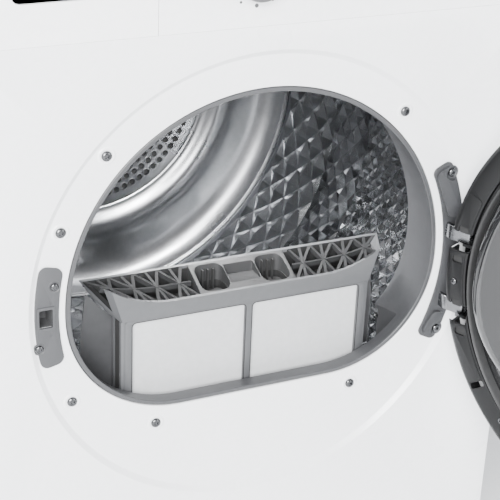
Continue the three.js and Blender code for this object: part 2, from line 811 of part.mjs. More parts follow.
function beltLoop(clearance) {
  // The open-belt outline round the drum and the motor pulley, walked counter-clockwise.
  const [dx, dz] = [motorX, motorZ - drumHeight];
  const distance = Math.hypot(dx, dz);
  const big = drumOuter + clearance;
  const small = pulleyRadius + clearance;
  const toward = Math.atan2(dz, dx);
  const spread = Math.acos((big - small) / distance);
  const shift = (p) => point(p.x, p.y + drumHeight);
  return [
    ...arc(0, 0, big, toward + spread, toward + 2 * Math.PI - spread, facets.large + 16),
    ...arc(dx, dz, small, toward - spread, toward + spread, 8),
  ].map(shift);
}

function drumBelt() {
  const [front, back] = [beltPlane - beltWidth / 2, beltPlane + beltWidth / 2];
  return plateY(beltLoop(gap + beltThickness), front, back, [beltLoop(gap).reverse()]);
}

function idlerPlace() {
  // Inside the loop, just clear of the middle of the belt's left run.
  const [dx, dz] = [motorX, motorZ - drumHeight];
  const toward = Math.atan2(dz, dx);
  const spread = Math.acos((drumOuter - pulleyRadius) / Math.hypot(dx, dz));
  const normal = toward - spread;
  const reach = pulleyRadius - idlerRadius;
  const run = 75;
  return {
    x: dx + reach * Math.cos(normal) + run * Math.sin(normal),
    z: motorZ + reach * Math.sin(normal) - run * Math.cos(normal),
  };
}

function idlerPulley() {
  return tube(4 + gap, idlerRadius, -8, 8);
}

const motorFront = beltPlane + 22;
const motorBack = motorFront + 120;

function driveMotor() {
  const body = rod(48, motorFront, motorBack, motorX, motorZ);
  const foot = box([motorX - 40, motorFront + 15, 19 + gap], [motorX + 40, motorBack - 15, motorZ - 30]);
  const bore = rod(6 + gap, motorFront - 5, motorBack + 5, motorX, motorZ, facets.small);
  return cut(join(body, foot), bore);
}

function motorRotor() {
  const belt = rod(pulleyRadius, beltPlane - 9, beltPlane + 9);
  return join(belt, rod(6, beltPlane, motorBack + 38, 0, 0, facets.small));
}

function blowerWheel() {
  return tube(6 + gap, 56, motorBack + 8, motorBack + 34);
}

function blowerHousing() {
  const [front, back] = [motorBack + 2, motorBack + 42];
  const wall = 2.5;
  const inner = 60;
  const scroll = rod(inner + wall, front, back, motorX, motorZ);
  const outlet = box([motorX - 62, front, motorZ], [motorX - 8, back, motorZ + 100]);
  const space = rod(inner, front + wall, back - wall, motorX, motorZ);
  const duct = box(
    [motorX - 60 + wall, front + wall, motorZ], [motorX - 8 - wall, back - wall, motorZ + 110]);
  const eye = rod(9, front - 5, front + 10, motorX, motorZ, facets.small);
  return cut(join(scroll, outlet), space, duct, eye);
}

// ---- Heat pump in the base ----
const panFloor = footHeight + 4 + gap;

function heatExchanger(front, back) {
  const [left, right, low, high] = [-255, -70, panFloor, 150];
  const fins = 9;
  const pitch = (right - left) / fins;
  const slots = Array.from({ length: fins - 1 }, (_, i) => {
    const x = left + pitch * (i + 1);
    return box([x - 3, front - 5, low + 12], [x + 3, back + 5, high + 5]);
  });
  return cut(box([left, front, low], [right, back, high]), ...slots);
}

function compressor() {
  const [x, y, low, radius] = [150, -120, panFloor, 58];
  const profile = [
    [0, low], [radius + 8, low], [radius + 8, low + 4], [radius, low + 6], [radius, 140], [radius - 12, 158],
    [15, 168], [0, 168],
  ].map(([r, z]) => point(r, z));
  return closed(new THREE.LatheGeometry(profile, facets.medium).rotateX(Math.PI / 2)).translate(x, y, 0);
}

function condensatePump() {
  return join(post(24, panFloor, 70, -180, 180, facets.medium), box([-178, 174, 52], [-120, 186, 64]));
}

function powerInlet() {
  const { left, right, low, high } = inletBox;
  const [front, back] = [rearY - 26, rearY + 3];
  const body = plateY(roundedBox2([left + gap, low + gap], [right - gap, high - gap], 3), front, back);
  return cut(body, box([left + 6, back - 20, low + 6], [right - 6, back + 5, high - 6]));
}

// ---- Assembly ----
const dryer = new THREE.Group();

function place(parent, mesh, x = 0, y = 0, z = 0) {
  mesh.position.set(x, y, z);
  parent.add(mesh);
}

dryer.add(
  part("front_panel", frontPanel(), white),
  part("left_side_panel", sidePanel(-1), white),
  part("right_side_panel", sidePanel(1), white),
  part("rear_panel", rearPanel(), zinc),
  part("rear_duct_cover", rearDuctCover(), zinc),
  part("top_cover", topCover(), white),
  part("base_pan", basePan(), darkGrey),
  part("control_panel", controlPanel(), white),
  part("display_window", displayWindow(), black),
  part("control_board", controlBoard(), boardGreen),
  part("front_bulkhead", frontBulkhead(), midGrey),
  part("drum_front_seal", drumFrontSeal(), meshWhite),
  part("rear_bulkhead", rearBulkhead(), zinc),
  part("drum_bearing", drumBearing(), castMetal),
  part("drum_belt", drumBelt(), rubber),
  part("roller_axle_left", rollerAxle(-1), zinc),
  part("roller_axle_right", rollerAxle(1), zinc),
  part("drive_motor", driveMotor(), castMetal),
  part("blower_housing", blowerHousing(), darkGrey),
  part("compressor", compressor(), black),
  part("evaporator", heatExchanger(-200, -100), zinc),
  part("condenser", heatExchanger(-85, 45), copper),
  part("condensate_pump", condensatePump(), darkGrey),
  part("power_inlet", powerInlet(), black),
  part("water_tank", waterTank(), meshWhite),
  part("water_tank_front", waterTankFront(), white),
);

place(dryer, part("service_flap", serviceFlap(), white));
place(dryer, part("program_knob", programKnob(), white), controls.knob, frontY, controls.height);
for (const [name, x, radius] of [
  ["power_button", controls.power, buttonRadius],
  ["option_button", controls.options, buttonRadius],
  ["start_button", controls.start, startRadius],
]) {
  place(dryer, part(name, pushButton(radius), midGrey), x, frontY, controls.height);
}
footPlaces.forEach(([x, y], i) => {
  const name = ["foot_front_left", "foot_front_right", "foot_rear_left", "foot_rear_right"][i];
  place(dryer, part(name, levellingFoot(), rubber), x, y, 0);
});

const seat = new THREE.Group();
seat.position.set(0, seatY, openingHeight);
seat.add(
  part("latch_plate", latchPlate(), midGrey),
  part("door_lock", doorLock(), black),
  part("hinge_plate", hingePlate(), zinc),
  part("hinge_pin", hingePin(), zinc),
);
dryer.add(seat);

const filter = new THREE.Group();
filter.position.set(0, seatY, openingHeight + filterLift);
filter.add(
  part("filter_head", filterHead(), midGrey),
  part("filter_frame", filterFrame(), midGrey),
  part("filter_mesh", filterMesh(), meshWhite),
);
dryer.add(filter);

const doorSwing = new THREE.Group();
doorSwing.position.set(hingeX, seatY - hingeForward, openingHeight);
doorSwing.rotation.z = THREE.MathUtils.degToRad(doorOpenAngle);
const door = new THREE.Group();
door.position.set(-hingeX, hingeForward, 0);
door.add(
  part("door_frame", doorFrame(), darkGrey),
  part("door_inner_cover", doorInnerCover(), darkGrey),
  part("door_seal", doorSeal(), rubber),
  part("door_bowl", doorBowl(), glass),
  part("door_window", doorWindow(), glass),
  part("door_hook", doorHook(), zinc),
  part("door_hinge_leaf", hingeLeaf(), zinc),
);
doorSwing.add(door);
dryer.add(doorSwing);

const drum = new THREE.Group();
drum.position.set(0, seatY, drumHeight);
drum.add(
  part("drum_shell", drumShell(), stainless),
  part("drum_rear_plate", drumRearPlate(), stainless),
  part("drum_shaft", drumShaft(), zinc),
);
["lifter_low", "lifter_high"].forEach((name, i) => {
  const blade = part(name, lifter(), midGrey);
  blade.rotation.y = THREE.MathUtils.degToRad(lifterAngle - 180 * i);
  drum.add(blade);
});
dryer.add(drum);

place(dryer, part("support_roller_left", supportRoller(), rubber), -rollerX, 0, rollerZ);
place(dryer, part("support_roller_right", supportRoller(), rubber), rollerX, 0, rollerZ);
place(dryer, part("motor_rotor", motorRotor(), castMetal), motorX, 0, motorZ);
place(dryer, part("blower_wheel", blowerWheel(), darkGrey), motorX, 0, motorZ);
const idler = idlerPlace();
place(dryer, part("idler_pulley", idlerPulley(), darkGrey), idler.x, beltPlane, idler.z);
place(dryer, part("idler_bracket", idlerBracket(), zinc), idler.x, beltPlane, idler.z);

function idlerBracket() {
  return join(rod(4, -14, 14, 0, 0, facets.small), box([-7, 10, -(idler.z - panFloor)], [7, 14, 8]));
}

export default dryer;
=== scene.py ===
"""The looks of a front-loading clothes dryer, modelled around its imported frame.

The file is laid out as an add-on: sizes and colours are scene properties, each piece or group of
like pieces is one operator, and a panel in the sidebar lists them. Lengths in the drawing helpers
are millimetres, and scene properties are metres.
"""

import json
import math

import bpy
from bpy.props import FloatProperty, FloatVectorProperty, IntProperty, PointerProperty
from mathutils import Matrix, Vector


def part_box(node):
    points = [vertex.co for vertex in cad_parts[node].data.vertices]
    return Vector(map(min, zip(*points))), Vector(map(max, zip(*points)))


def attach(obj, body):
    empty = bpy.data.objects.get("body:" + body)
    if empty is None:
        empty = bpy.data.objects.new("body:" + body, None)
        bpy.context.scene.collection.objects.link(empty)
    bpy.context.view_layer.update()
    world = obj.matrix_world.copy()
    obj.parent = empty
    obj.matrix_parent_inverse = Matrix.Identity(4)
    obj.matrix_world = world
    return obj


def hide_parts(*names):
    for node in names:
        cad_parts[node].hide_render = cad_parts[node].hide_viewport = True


bl_info = {
    "name": "Clothes dryer",
    "version": (1, 0, 0),
    "blender": (4, 5, 0),
    "location": "View3D > Sidebar > Dryer",
    "description": "Models the looks of a front-loading clothes dryer piece by piece",
    "category": "Object",
}

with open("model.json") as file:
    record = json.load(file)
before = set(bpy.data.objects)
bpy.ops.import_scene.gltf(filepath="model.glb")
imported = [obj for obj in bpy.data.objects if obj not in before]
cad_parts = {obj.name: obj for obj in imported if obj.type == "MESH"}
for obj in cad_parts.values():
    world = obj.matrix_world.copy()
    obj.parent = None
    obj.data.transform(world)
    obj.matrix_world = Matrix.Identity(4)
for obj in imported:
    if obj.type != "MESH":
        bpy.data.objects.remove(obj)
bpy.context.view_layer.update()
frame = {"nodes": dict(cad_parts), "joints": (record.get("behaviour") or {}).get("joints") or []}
MM = 1000.0


def cad(node):
    """Lowest and highest corner of a frame node, in millimetres."""
    low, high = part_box(node)
    return low * MM, high * MM


def pivot(name):
    """Where a joint's axis passes, in millimetres."""
    for joint in frame["joints"]:
        if joint["name"] == name:
            return Vector(joint["pos_m"]) * MM
    raise RuntimeError("the frame has no joint " + name)


# Places read from the frame, in millimetres
FRONT = cad("front_panel")[0].y
SEAT = cad("latch_plate")[1].y + 0.3
MOUTH_Z = pivot("door_hinge").z
DRUM_Z = pivot("drum_spin").z
HINGE = pivot("door_hinge")
DRUM_FRONT = cad("drum_shell")[0].y
DRUM_BACK = cad("drum_shell")[1].y
DOOR_SWING = math.radians(116)


# ---- Sizes and colours a user would change ----
def length(name, description, value):
    return FloatProperty(name=name, description=description, default=value, subtype="DISTANCE", unit="LENGTH")


def colour(name, description, value):
    return FloatVectorProperty(
        name=name, description=description, default=value, subtype="COLOR", size=3, min=0.0, max=1.0)


class DryerSizes(bpy.types.PropertyGroup):
    """Sizes of the pieces that the looks add to the frame."""

    mouth_radius: length("Opening radius", "Radius of the loading opening's upper part", 0.205)
    mouth_flat: length("Opening flat", "Half the width of the opening's straight lower edge", 0.084)
    mouth_drop: length("Opening drop", "How far the lower corner centres lie below the middle", 0.003)
    seat_radius: length("Door seat radius", "Radius of the pressed recess that the door closes into", 0.237)
    lip_width: length("Lip width", "Width of the grey lip inside the opening", 0.0045)
    collar_flare: length("Collar flare", "How far the collar widens towards the drum", 0.009)
    screw_circle: length("Screw circle", "Radius of the circle that the seat's screws stand on", 0.2232)
    drum_radius: length("Drum radius", "Inner radius of the drum's wall", 0.281)
    wide_facet: length("Wide facet", "Pitch of the large embossed diamonds at the drum's rear", 0.042)
    middle_facet: length("Middle facet", "Pitch of the diamonds between the large and the fine ones", 0.027)
    fine_facet: length("Fine facet", "Pitch of the small embossed diamonds", 0.0165)
    hole_pitch: length("Hole pitch", "Distance between the air holes of the drum's rear disc", 0.012)
    hole_radius: length("Hole radius", "Radius of one air hole of the drum's rear disc", 0.0041)
    truss_bar: length("Truss bar", "Width of the ribs of the filter's truss", 0.0031)
    door_radius: length("Door radius", "Outer radius of the door", 0.2408)
    turn_steps: IntProperty(
        name="Turn steps", description="Steps that a large turned shape has in a full turn", default=160, min=24)


class DryerColours(bpy.types.PropertyGroup):
    """Base colours of the dryer's finishes."""

    enamel: colour("White enamel", "Front panel, sides and rear", (0.8, 0.81, 0.825))
    white_plastic: colour("White plastic", "Control panel, tank front and flap", (0.79, 0.8, 0.815))
    collar: colour("Grey plastic", "Bulkhead and collar", (0.048, 0.049, 0.052))
    filter_grey: colour("Filter grey", "Frame and head of the lint filter", (0.072, 0.074, 0.078))
    # The truss tint is far darker than the filter grey: the ribs' own dark grey with painted shade among them.
    truss: colour("Truss grey with painted shade", "Truss and hollows of the filter's head", (0.012, 0.0123, 0.013))
    plate: colour("Plate grey", "Latch plate in the door's seat", (0.045, 0.046, 0.049))
    door_grey: colour("Door grey", "Inner cover of the door", (0.0045, 0.0046, 0.005))
    lens: colour("Door lens", "Bowl and glass of the door", (0.010, 0.0103, 0.011))
    steel: colour("Stainless steel", "Drum", (0.4, 0.408, 0.42))
    zinc: colour("Zinc plate", "Hinge plate and small steel parts", (0.17, 0.173, 0.178))
    fabric: colour("Filter fabric", "Fine cloth of the lint filter", (0.5, 0.51, 0.52))
    floor: colour("Floor", "Studio floor", (0.8, 0.81, 0.82))


def mm(name):
    """A size of the scene, in millimetres."""
    return getattr(bpy.context.scene.dryer_sizes, name) * MM


def tint(name):
    """A colour of the scene with full opacity."""
    return (*getattr(bpy.context.scene.dryer_colours, name), 1.0)


# ---- Drawing by hand: one vertex is extruded and spun into an outline ----
PLANES = {"XZ": (0, 2, 1), "XY": (0, 1, 2), "YZ": (1, 2, 0)}
TURNS = {"XZ": Vector((0, -1, 0)), "XY": Vector((0, 0, 1)), "YZ": Vector((1, 0, 0))}


def at(plane, u, v, depth):
    """The point of a drawing plane at a depth, in metres."""
    place = Vector((0, 0, 0))
    for axis, value in zip(PLANES[plane], (u, v, depth)):
        place[axis] = value / MM
    return place


def clear():
    """Leaves edit mode with nothing selected."""
    if bpy.context.object and bpy.context.object.mode != "OBJECT":
        bpy.ops.object.mode_set(mode="OBJECT")
    bpy.ops.object.select_all(action="DESELECT")


def pick(*pieces):
    """Selects pieces alone, the first one active."""
    clear()
    for piece in pieces:
        piece.select_set(True)
    bpy.context.view_layer.objects.active = pieces[0]


def editing(piece):
    """Opens a piece in edit mode with all of it selected."""
    pick(piece)
    bpy.ops.object.mode_set(mode="EDIT")
    bpy.ops.mesh.select_all(action="SELECT")


def done():
    bpy.ops.object.mode_set(mode="OBJECT")


def settled(piece):
    """Bakes a piece's placing into its mesh."""
    pick(piece)
    bpy.ops.object.transform_apply(location=True, rotation=True, scale=True)
    return piece


def moved(piece, matrix):
    """Moves a piece by a matrix in metres, into its mesh."""
    piece.matrix_world = matrix @ piece.matrix_world
    return settled(piece)


def shifted(piece, x=0.0, y=0.0, z=0.0):
    return moved(piece, Matrix.Translation((x / MM, y / MM, z / MM)))


def turned_about(piece, angle, axis, centre):
    """Turns a piece by an angle about an axis through a centre in millimetres."""
    middle = Matrix.Translation(Vector(centre) / MM)
    return moved(piece, middle @ Matrix.Rotation(angle, 4, axis) @ middle.inverted())


def copied(piece):
    pick(piece)
    bpy.ops.object.duplicate(linked=False)
    return bpy.context.object


def joined(pieces):
    """One object of several, with the first one's name."""
    pick(*pieces)
    if len(pieces) > 1:
        bpy.ops.object.join()
    return bpy.context.object


def draw(plane, shape, depth):
    """Draws a shape at a depth. A shape is its start and its moves, each (u, v) or (u, v, degrees, steps)."""
    start, moves = shape
    clear()
    bpy.ops.mesh.primitive_plane_add(size=0.001, location=at(plane, *start, depth))
    pen = settled(bpy.context.object)
    editing(pen)
    bpy.ops.mesh.merge(type="CENTER")
    here = Vector(start)
    for move in moves:
        if len(move) == 2:
            step = at(plane, *move, depth) - at(plane, *here, depth)
            bpy.ops.mesh.extrude_region_move(TRANSFORM_OT_translate={"value": step})
            here = Vector(move)
        else:
            u, v, degrees, steps = move
            bpy.ops.mesh.spin(
                steps=steps, angle=-math.radians(degrees), center=at(plane, u, v, depth), axis=TURNS[plane])
            turn = Matrix.Rotation(math.radians(degrees), 2)
            here = Vector((u, v)) + turn @ (here - Vector((u, v)))
    bpy.ops.mesh.select_all(action="SELECT")
    bpy.ops.mesh.remove_doubles(threshold=2e-6)
    done()
    return pen


def ring(radius, u=0.0, v=0.0, steps=48):
    return (u + radius, v), [(u, v, 360, steps)]


def rounded(low, high, radius, steps=6):
    """A rectangle with rounded corners."""
    (a, b), (c, d) = low, high
    return (c, b + radius), [
        (c, d - radius), (c - radius, d - radius, 90, steps), (a + radius, d), (a + radius, d - radius, 90, steps),
        (a, b + radius), (a + radius, b + radius, 90, steps), (c - radius, b), (c - radius, b + radius, 90, steps)]


def polygon(points):
    return tuple(points[0]), [tuple(p) for p in points[1:]] + [tuple(points[0])]


def sector(inner, outer, middle, half, steps=16, u=0.0, v=0.0):
    """A piece of a ring, its angles in degrees."""
    first, last = math.radians(middle - half), math.radians(middle + half)
    return (u + outer * math.cos(first), v + outer * math.sin(first)), [
        (u, v, 2 * half, steps), (u + inner * math.cos(last), v + inner * math.sin(last)),
        (u, v, -2 * half, steps), (u + outer * math.cos(first), v + outer * math.sin(first))]


def mouth(offset=0.0, steps=112):
    """The loading opening: a round top, two lower corners and a straight ledge, grown by an offset."""
    flat, drop = mm("mouth_flat"), mm("mouth_drop")
    tilt = math.degrees(math.atan2(drop, flat))
    corner = mm("mouth_radius") - math.hypot(flat, drop) + offset
    radius = mm("mouth_radius") + offset
    turn = math.radians(tilt)
    start = (radius * math.cos(turn), MOUTH_Z - radius * math.sin(turn))
    bottom = MOUTH_Z - drop - corner
    ledge = [(flat * (i / 4 - 1), bottom) for i in range(1, 9)]
    return start, [
        (0, MOUTH_Z, 180 + 2 * tilt, steps), (-flat, MOUTH_Z - drop, 90 - tilt, steps // 4),
        *ledge, (flat, MOUTH_Z - drop, 90 - tilt, steps // 4)]


def outward():
    """Turns every face of the open mesh outwards."""
    bpy.ops.mesh.select_all(action="SELECT")
    bpy.ops.mesh.normals_make_consistent(inside=False)


def plate(plane, shape, low, high, holes=()):
    """A plate between two depths, with holes."""
    sheet = joined([draw(plane, outline, low) for outline in (shape, *holes)])
    editing(sheet)
    if holes:
        bpy.ops.mesh.fill(use_beauty=True)
    else:
        bpy.ops.mesh.edge_face_add()
    bpy.ops.mesh.select_all(action="SELECT")
    step = at(plane, 0, 0, high) - at(plane, 0, 0, low)
    bpy.ops.mesh.extrude_region_move(TRANSFORM_OT_translate={"value": step})
    outward()
    done()
    return sheet


def block(low, high):
    """A rectangular block between two corners."""
    return plate("XY", polygon([low[:2], (high[0], low[1]), high[:2], (low[0], high[1])]), low[2], high[2])


def lathe(profile, x=0.0, z=0.0, y=None, steps=None, arcs=None):
    """A body turned about the Y axis from (radius, y) points, or about Z through (x, y) from (radius, z)."""
    steps = steps or bpy.context.scene.dryer_sizes.turn_steps
    if y is None:
        points = [(x + radius, along) for radius, along in profile]
        body = draw("XY", (points[0], arcs or points[1:]), z)
        centre, axis = Vector((x, 0, z)) / MM, Vector((0, 1, 0))
    else:
        points = [(x + radius, along) for radius, along in profile]
        body = draw("XZ", (points[0], arcs or points[1:]), y)
        centre, axis = Vector((x, y, 0)) / MM, Vector((0, 0, 1))
    editing(body)
    bpy.ops.mesh.spin(steps=steps, angle=2 * math.pi, center=centre, axis=axis)
    bpy.ops.mesh.select_all(action="SELECT")
    bpy.ops.mesh.remove_doubles(threshold=4e-6)
    outward()
    done()
    return body


def band(plane, sections, capped=True):
    """A skin bridged through loops, each (depth, shape), closed at both ends if capped."""
    body = joined([draw(plane, shape, depth) for depth, shape in sections])
    editing(body)
    bpy.ops.mesh.bridge_edge_loops()
    if capped:
        bpy.ops.mesh.select_all(action="SELECT")
        bpy.ops.mesh.fill_holes(sides=0)
        outward()
    done()
    return body


def combined(body, tools, operation="DIFFERENCE", solver="MANIFOLD"):
    """Cuts tools out of a body, or joins them to it."""
    for tool in tools:
        pick(body)
        bpy.ops.object.modifier_add(type="BOOLEAN")
        modifier = body.modifiers[-1]
        modifier.operation = operation
        modifier.solver = solver
        modifier.object = tool
        bpy.ops.object.modifier_apply(modifier=modifier.name)
        bpy.data.objects.remove(tool)
    if not body.data.polygons:
        raise RuntimeError("nothing is left of " + body.name)
    return body


def softened(piece, width, segments=2, angle=35):
    """Rounds a piece's sharp edges by a width in millimetres."""
    pick(piece)
    bpy.ops.object.modifier_add(type="BEVEL")
    modifier = piece.modifiers[-1]
    modifier.width = width / MM
    modifier.segments = segments
    modifier.limit_method = "ANGLE"
    modifier.angle_limit = math.radians(angle)
    modifier.use_clamp_overlap = True
    bpy.ops.object.modifier_apply(modifier=modifier.name)
    return piece


def thickened(piece, thickness, offset=-1.0):
    """Gives a sheet its wall, in millimetres."""
    pick(piece)
    bpy.ops.object.modifier_add(type="SOLIDIFY")
    modifier = piece.modifiers[-1]
    modifier.thickness = thickness / MM
    modifier.offset = offset
    modifier.use_even_offset = True
    bpy.ops.object.modifier_apply(modifier=modifier.name)
    return piece


def corners_rounded(piece, direction, radius, steps=5):
    """Rounds the edges that run along a direction, by a radius in millimetres."""
    pick(piece)
    mesh = piece.data
    for edge in mesh.edges:
        along = mesh.vertices[edge.vertices[1]].co - mesh.vertices[edge.vertices[0]].co
        edge.select = False
        sharp = along.length > 1e-5 and abs(along.normalized().dot(direction)) > 0.999
        edge.use_seam = sharp
    sides = {}
    for face in mesh.polygons:
        face.select = False
        for key in face.edge_keys:
            sides.setdefault(key, []).append(face.normal)
    for vertex in mesh.vertices:
        vertex.select = False
    for edge in mesh.edges:
        normals = sides.get(edge.key, [])
        if edge.use_seam and len(normals) == 2 and normals[0].dot(normals[1]) < 0.6:
            edge.select = True
        edge.use_seam = False
    bpy.context.tool_settings.mesh_select_mode = (False, True, False)
    bpy.ops.object.mode_set(mode="EDIT")
    bpy.ops.mesh.bevel(offset=radius / MM, segments=steps, affect="EDGES")
    bpy.ops.mesh.select_mode(type="VERT")
    done()
    return piece


def put(piece, name, finish, body, angle=32, stands_for=()):
    """Names a finished piece, gives it its finish and fixes it to its body."""
    pick(piece)
    piece.name = name
    piece.data.name = name
    piece.data.materials.clear()
    piece.data.materials.append(finish)
    bpy.ops.object.shade_smooth_by_angle(angle=math.radians(angle))
    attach(piece, body)
    if stands_for:
        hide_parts(*stands_for)
    return piece


# ---- Finishes, made of nodes ----
def node(tree, kind, sockets=None, **settings):
    """Adds a node; a socket's value may be another node's output."""
    made = tree.nodes.new(kind)
    for name, value in settings.items():
        setattr(made, name, value)
    for name, value in (sockets or {}).items():
        if isinstance(value, bpy.types.NodeSocket):
            tree.links.new(value, made.inputs[name])
        else:
            made.inputs[name].default_value = value
    return made


def group(name, inputs, outputs):
    """An empty node group with its sockets; returns the tree, its inputs and its output node."""
    tree = bpy.data.node_groups.new(name, "ShaderNodeTree")
    for socket, kind, value in inputs:
        made = tree.interface.new_socket(name=socket, in_out="INPUT", socket_type=kind)
        made.default_value = value
    for socket, kind in outputs:
        tree.interface.new_socket(name=socket, in_out="OUTPUT", socket_type=kind)
    return tree, tree.nodes.new("NodeGroupInput").outputs, tree.nodes.new("NodeGroupOutput")


def between(tree, value, low, high, start=0.35, end=0.65):
    """Maps a noise value to a range."""
    return node(tree, "ShaderNodeMapRange", {
        "Value": value, "From Min": start, "From Max": end, "To Min": low, "To Max": high}).outputs["Result"]


def moulded_group():
    """Fine moulded grain: a roughness that varies, and a bump."""
    tree, given, out = group("Moulded grain", [
        ("Grain", "NodeSocketFloat", 2500.0), ("Depth", "NodeSocketFloat", 0.1),
        ("Roughness", "NodeSocketFloat", 0.45), ("Spread", "NodeSocketFloat", 0.06)],
        [("Roughness", "NodeSocketFloat"), ("Normal", "NodeSocketVector")])
    place = node(tree, "ShaderNodeTexCoord").outputs["Object"]
    grain = node(tree, "ShaderNodeTexNoise", {"Vector": place, "Scale": given["Grain"], "Detail": 3.0})
    cloud = node(tree, "ShaderNodeTexNoise", {"Vector": place, "Scale": 9.0, "Detail": 4.0})
    low = node(tree, "ShaderNodeMath", {0: given["Roughness"], 1: given["Spread"]}, operation="SUBTRACT")
    high = node(tree, "ShaderNodeMath", {0: given["Roughness"], 1: given["Spread"]}, operation="ADD")
    rough = between(tree, cloud.outputs["Fac"], low.outputs[0], high.outputs[0])
    bump = node(tree, "ShaderNodeBump", {
        "Strength": given["Depth"], "Distance": 0.0003, "Height": grain.outputs["Fac"]})
    tree.links.new(rough, out.inputs["Roughness"])
    tree.links.new(bump.outputs["Normal"], out.inputs["Normal"])
    return tree


def film_group():
    """Light dust and handling marks: a colour that drifts a little."""
    tree, given, out = group("Colour drift", [
        ("Color", "NodeSocketColor", (0.5, 0.5, 0.5, 1.0)), ("Amount", "NodeSocketFloat", 0.06),
        ("Scale", "NodeSocketFloat", 7.0)], [("Color", "NodeSocketColor")])
    place = node(tree, "ShaderNodeTexCoord").outputs["Object"]
    cloud = node(tree, "ShaderNodeTexNoise", {"Vector": place, "Scale": given["Scale"], "Detail": 5.0})
    fine = node(tree, "ShaderNodeTexNoise", {"Vector": place, "Scale": 160.0, "Detail": 2.0})
    both = node(tree, "ShaderNodeMath", {0: cloud.outputs["Fac"], 1: fine.outputs["Fac"]}, operation="ADD")
    span = node(tree, "ShaderNodeMath", {0: 1.0, 1: given["Amount"]}, operation="SUBTRACT")
    value = between(tree, both.outputs[0], span.outputs[0], 1.0, 0.8, 1.2)
    shade = node(tree, "ShaderNodeHueSaturation", {"Color": given["Color"], "Value": value})
    tree.links.new(shade.outputs["Color"], out.inputs["Color"])
    return tree


def drawn_group():
    """Fine lines left by drawing or brushing steel, along the part's own depth."""
    tree, given, out = group("Drawn lines", [
        ("Stretch", "NodeSocketVector", (1.0, 1.0, 1.0)), ("Depth", "NodeSocketFloat", 0.1),
        ("Low", "NodeSocketFloat", 0.12), ("High", "NodeSocketFloat", 0.3)],
        [("Roughness", "NodeSocketFloat"), ("Normal", "NodeSocketVector"), ("Mask", "NodeSocketFloat")])
    place = node(tree, "ShaderNodeTexCoord").outputs["Object"]
    lines = node(tree, "ShaderNodeVectorMath", {0: place, 1: given["Stretch"]}, operation="MULTIPLY")
    noise = node(tree, "ShaderNodeTexNoise", {"Vector": lines.outputs[0], "Scale": 1.0, "Detail": 4.0})
    cloud = node(tree, "ShaderNodeTexNoise", {"Vector": place, "Scale": 14.0, "Detail": 3.0})
    both = node(tree, "ShaderNodeMath", {0: noise.outputs["Fac"], 1: cloud.outputs["Fac"]}, operation="ADD")
    rough = between(tree, both.outputs[0], given["Low"], given["High"], 0.8, 1.2)
    bump = node(tree, "ShaderNodeBump", {
        "Strength": given["Depth"], "Distance": 0.0002, "Height": noise.outputs["Fac"]})
    tree.links.new(rough, out.inputs["Roughness"])
    tree.links.new(bump.outputs["Normal"], out.inputs["Normal"])
    tree.links.new(noise.outputs["Fac"], out.inputs["Mask"])
    return tree


def edge_group():
    """Edges a little lighter or darker than the faces, from how far the surface turns."""
    tree, given, out = group("Edge wear", [
        ("Color", "NodeSocketColor", (0.5, 0.5, 0.5, 1.0)), ("Worn", "NodeSocketColor", (0.8, 0.8, 0.8, 1.0)),
        ("Amount", "NodeSocketFloat", 0.4)], [("Color", "NodeSocketColor")])
    place = node(tree, "ShaderNodeTexCoord").outputs["Object"]
    point = node(tree, "ShaderNodeNewGeometry").outputs["Pointiness"]
    edge = between(tree, point, 0.0, 1.0, 0.52, 0.6)
    patch = node(tree, "ShaderNodeTexNoise", {"Vector": place, "Scale": 90.0, "Detail": 4.0})
    torn = node(tree, "ShaderNodeMath", {0: edge, 1: patch.outputs["Fac"]}, operation="MULTIPLY")
    share = node(tree, "ShaderNodeMath", {0: torn.outputs[0], 1: given["Amount"]}, operation="MULTIPLY")
    mix = node(tree, "ShaderNodeMix", {0: share.outputs[0], 6: given["Color"], 7: given["Worn"]}, data_type="RGBA")
    tree.links.new(mix.outputs[2], out.inputs["Color"])
    return tree


EFFECTS = {"moulded": moulded_group, "film": film_group, "drawn": drawn_group, "edge": edge_group}


def effect(tree, name, sockets):
    """Places a shared effect in a finish."""
    made = bpy.data.node_groups.get("effect " + name)
    if not made:
        made = EFFECTS[name]()
        made.name = "effect " + name
    return node(tree, "ShaderNodeGroup", None, node_tree=made) if not sockets else filled(tree, made, sockets)


def filled(tree, made, sockets):
    placed = tree.nodes.new("ShaderNodeGroup")
    placed.node_tree = made
    for name, value in sockets.items():
        if isinstance(value, bpy.types.NodeSocket):
            tree.links.new(value, placed.inputs[name])
        else:
            placed.inputs[name].default_value = value
    return placed


def blank(name, **settings):
    """A new material; returns it, its tree and its shader with the settings on the shader's own sockets."""
    made = bpy.data.materials.new(name)
    made.use_nodes = True
    tree = made.node_tree
    shader = tree.nodes["Principled BSDF"]
    for socket, value in settings.items():
        shader.inputs[socket.replace("_", " ")].default_value = value
    return made, tree, shader


def plastic(name, base, rough=0.45, spread=0.07, grain=2500.0, depth=0.12, drift=0.06, **settings):
    """Moulded plastic or enamel with a fine grain and a light drift of colour."""
    made, tree, shader = blank(name, **settings)
    drifted = effect(tree, "film", {"Color": base, "Amount": drift})
    worn = effect(tree, "edge", {
        "Color": drifted.outputs["Color"], "Worn": tuple(min(1.0, c * 1.5 + 0.02) for c in base[:3]) + (1.0,)})
    grainy = effect(tree, "moulded", {"Grain": grain, "Depth": depth, "Roughness": rough, "Spread": spread})
    tree.links.new(worn.outputs["Color"], shader.inputs["Base Color"])
    tree.links.new(grainy.outputs["Roughness"], shader.inputs["Roughness"])
    tree.links.new(grainy.outputs["Normal"], shader.inputs["Normal"])
    return made


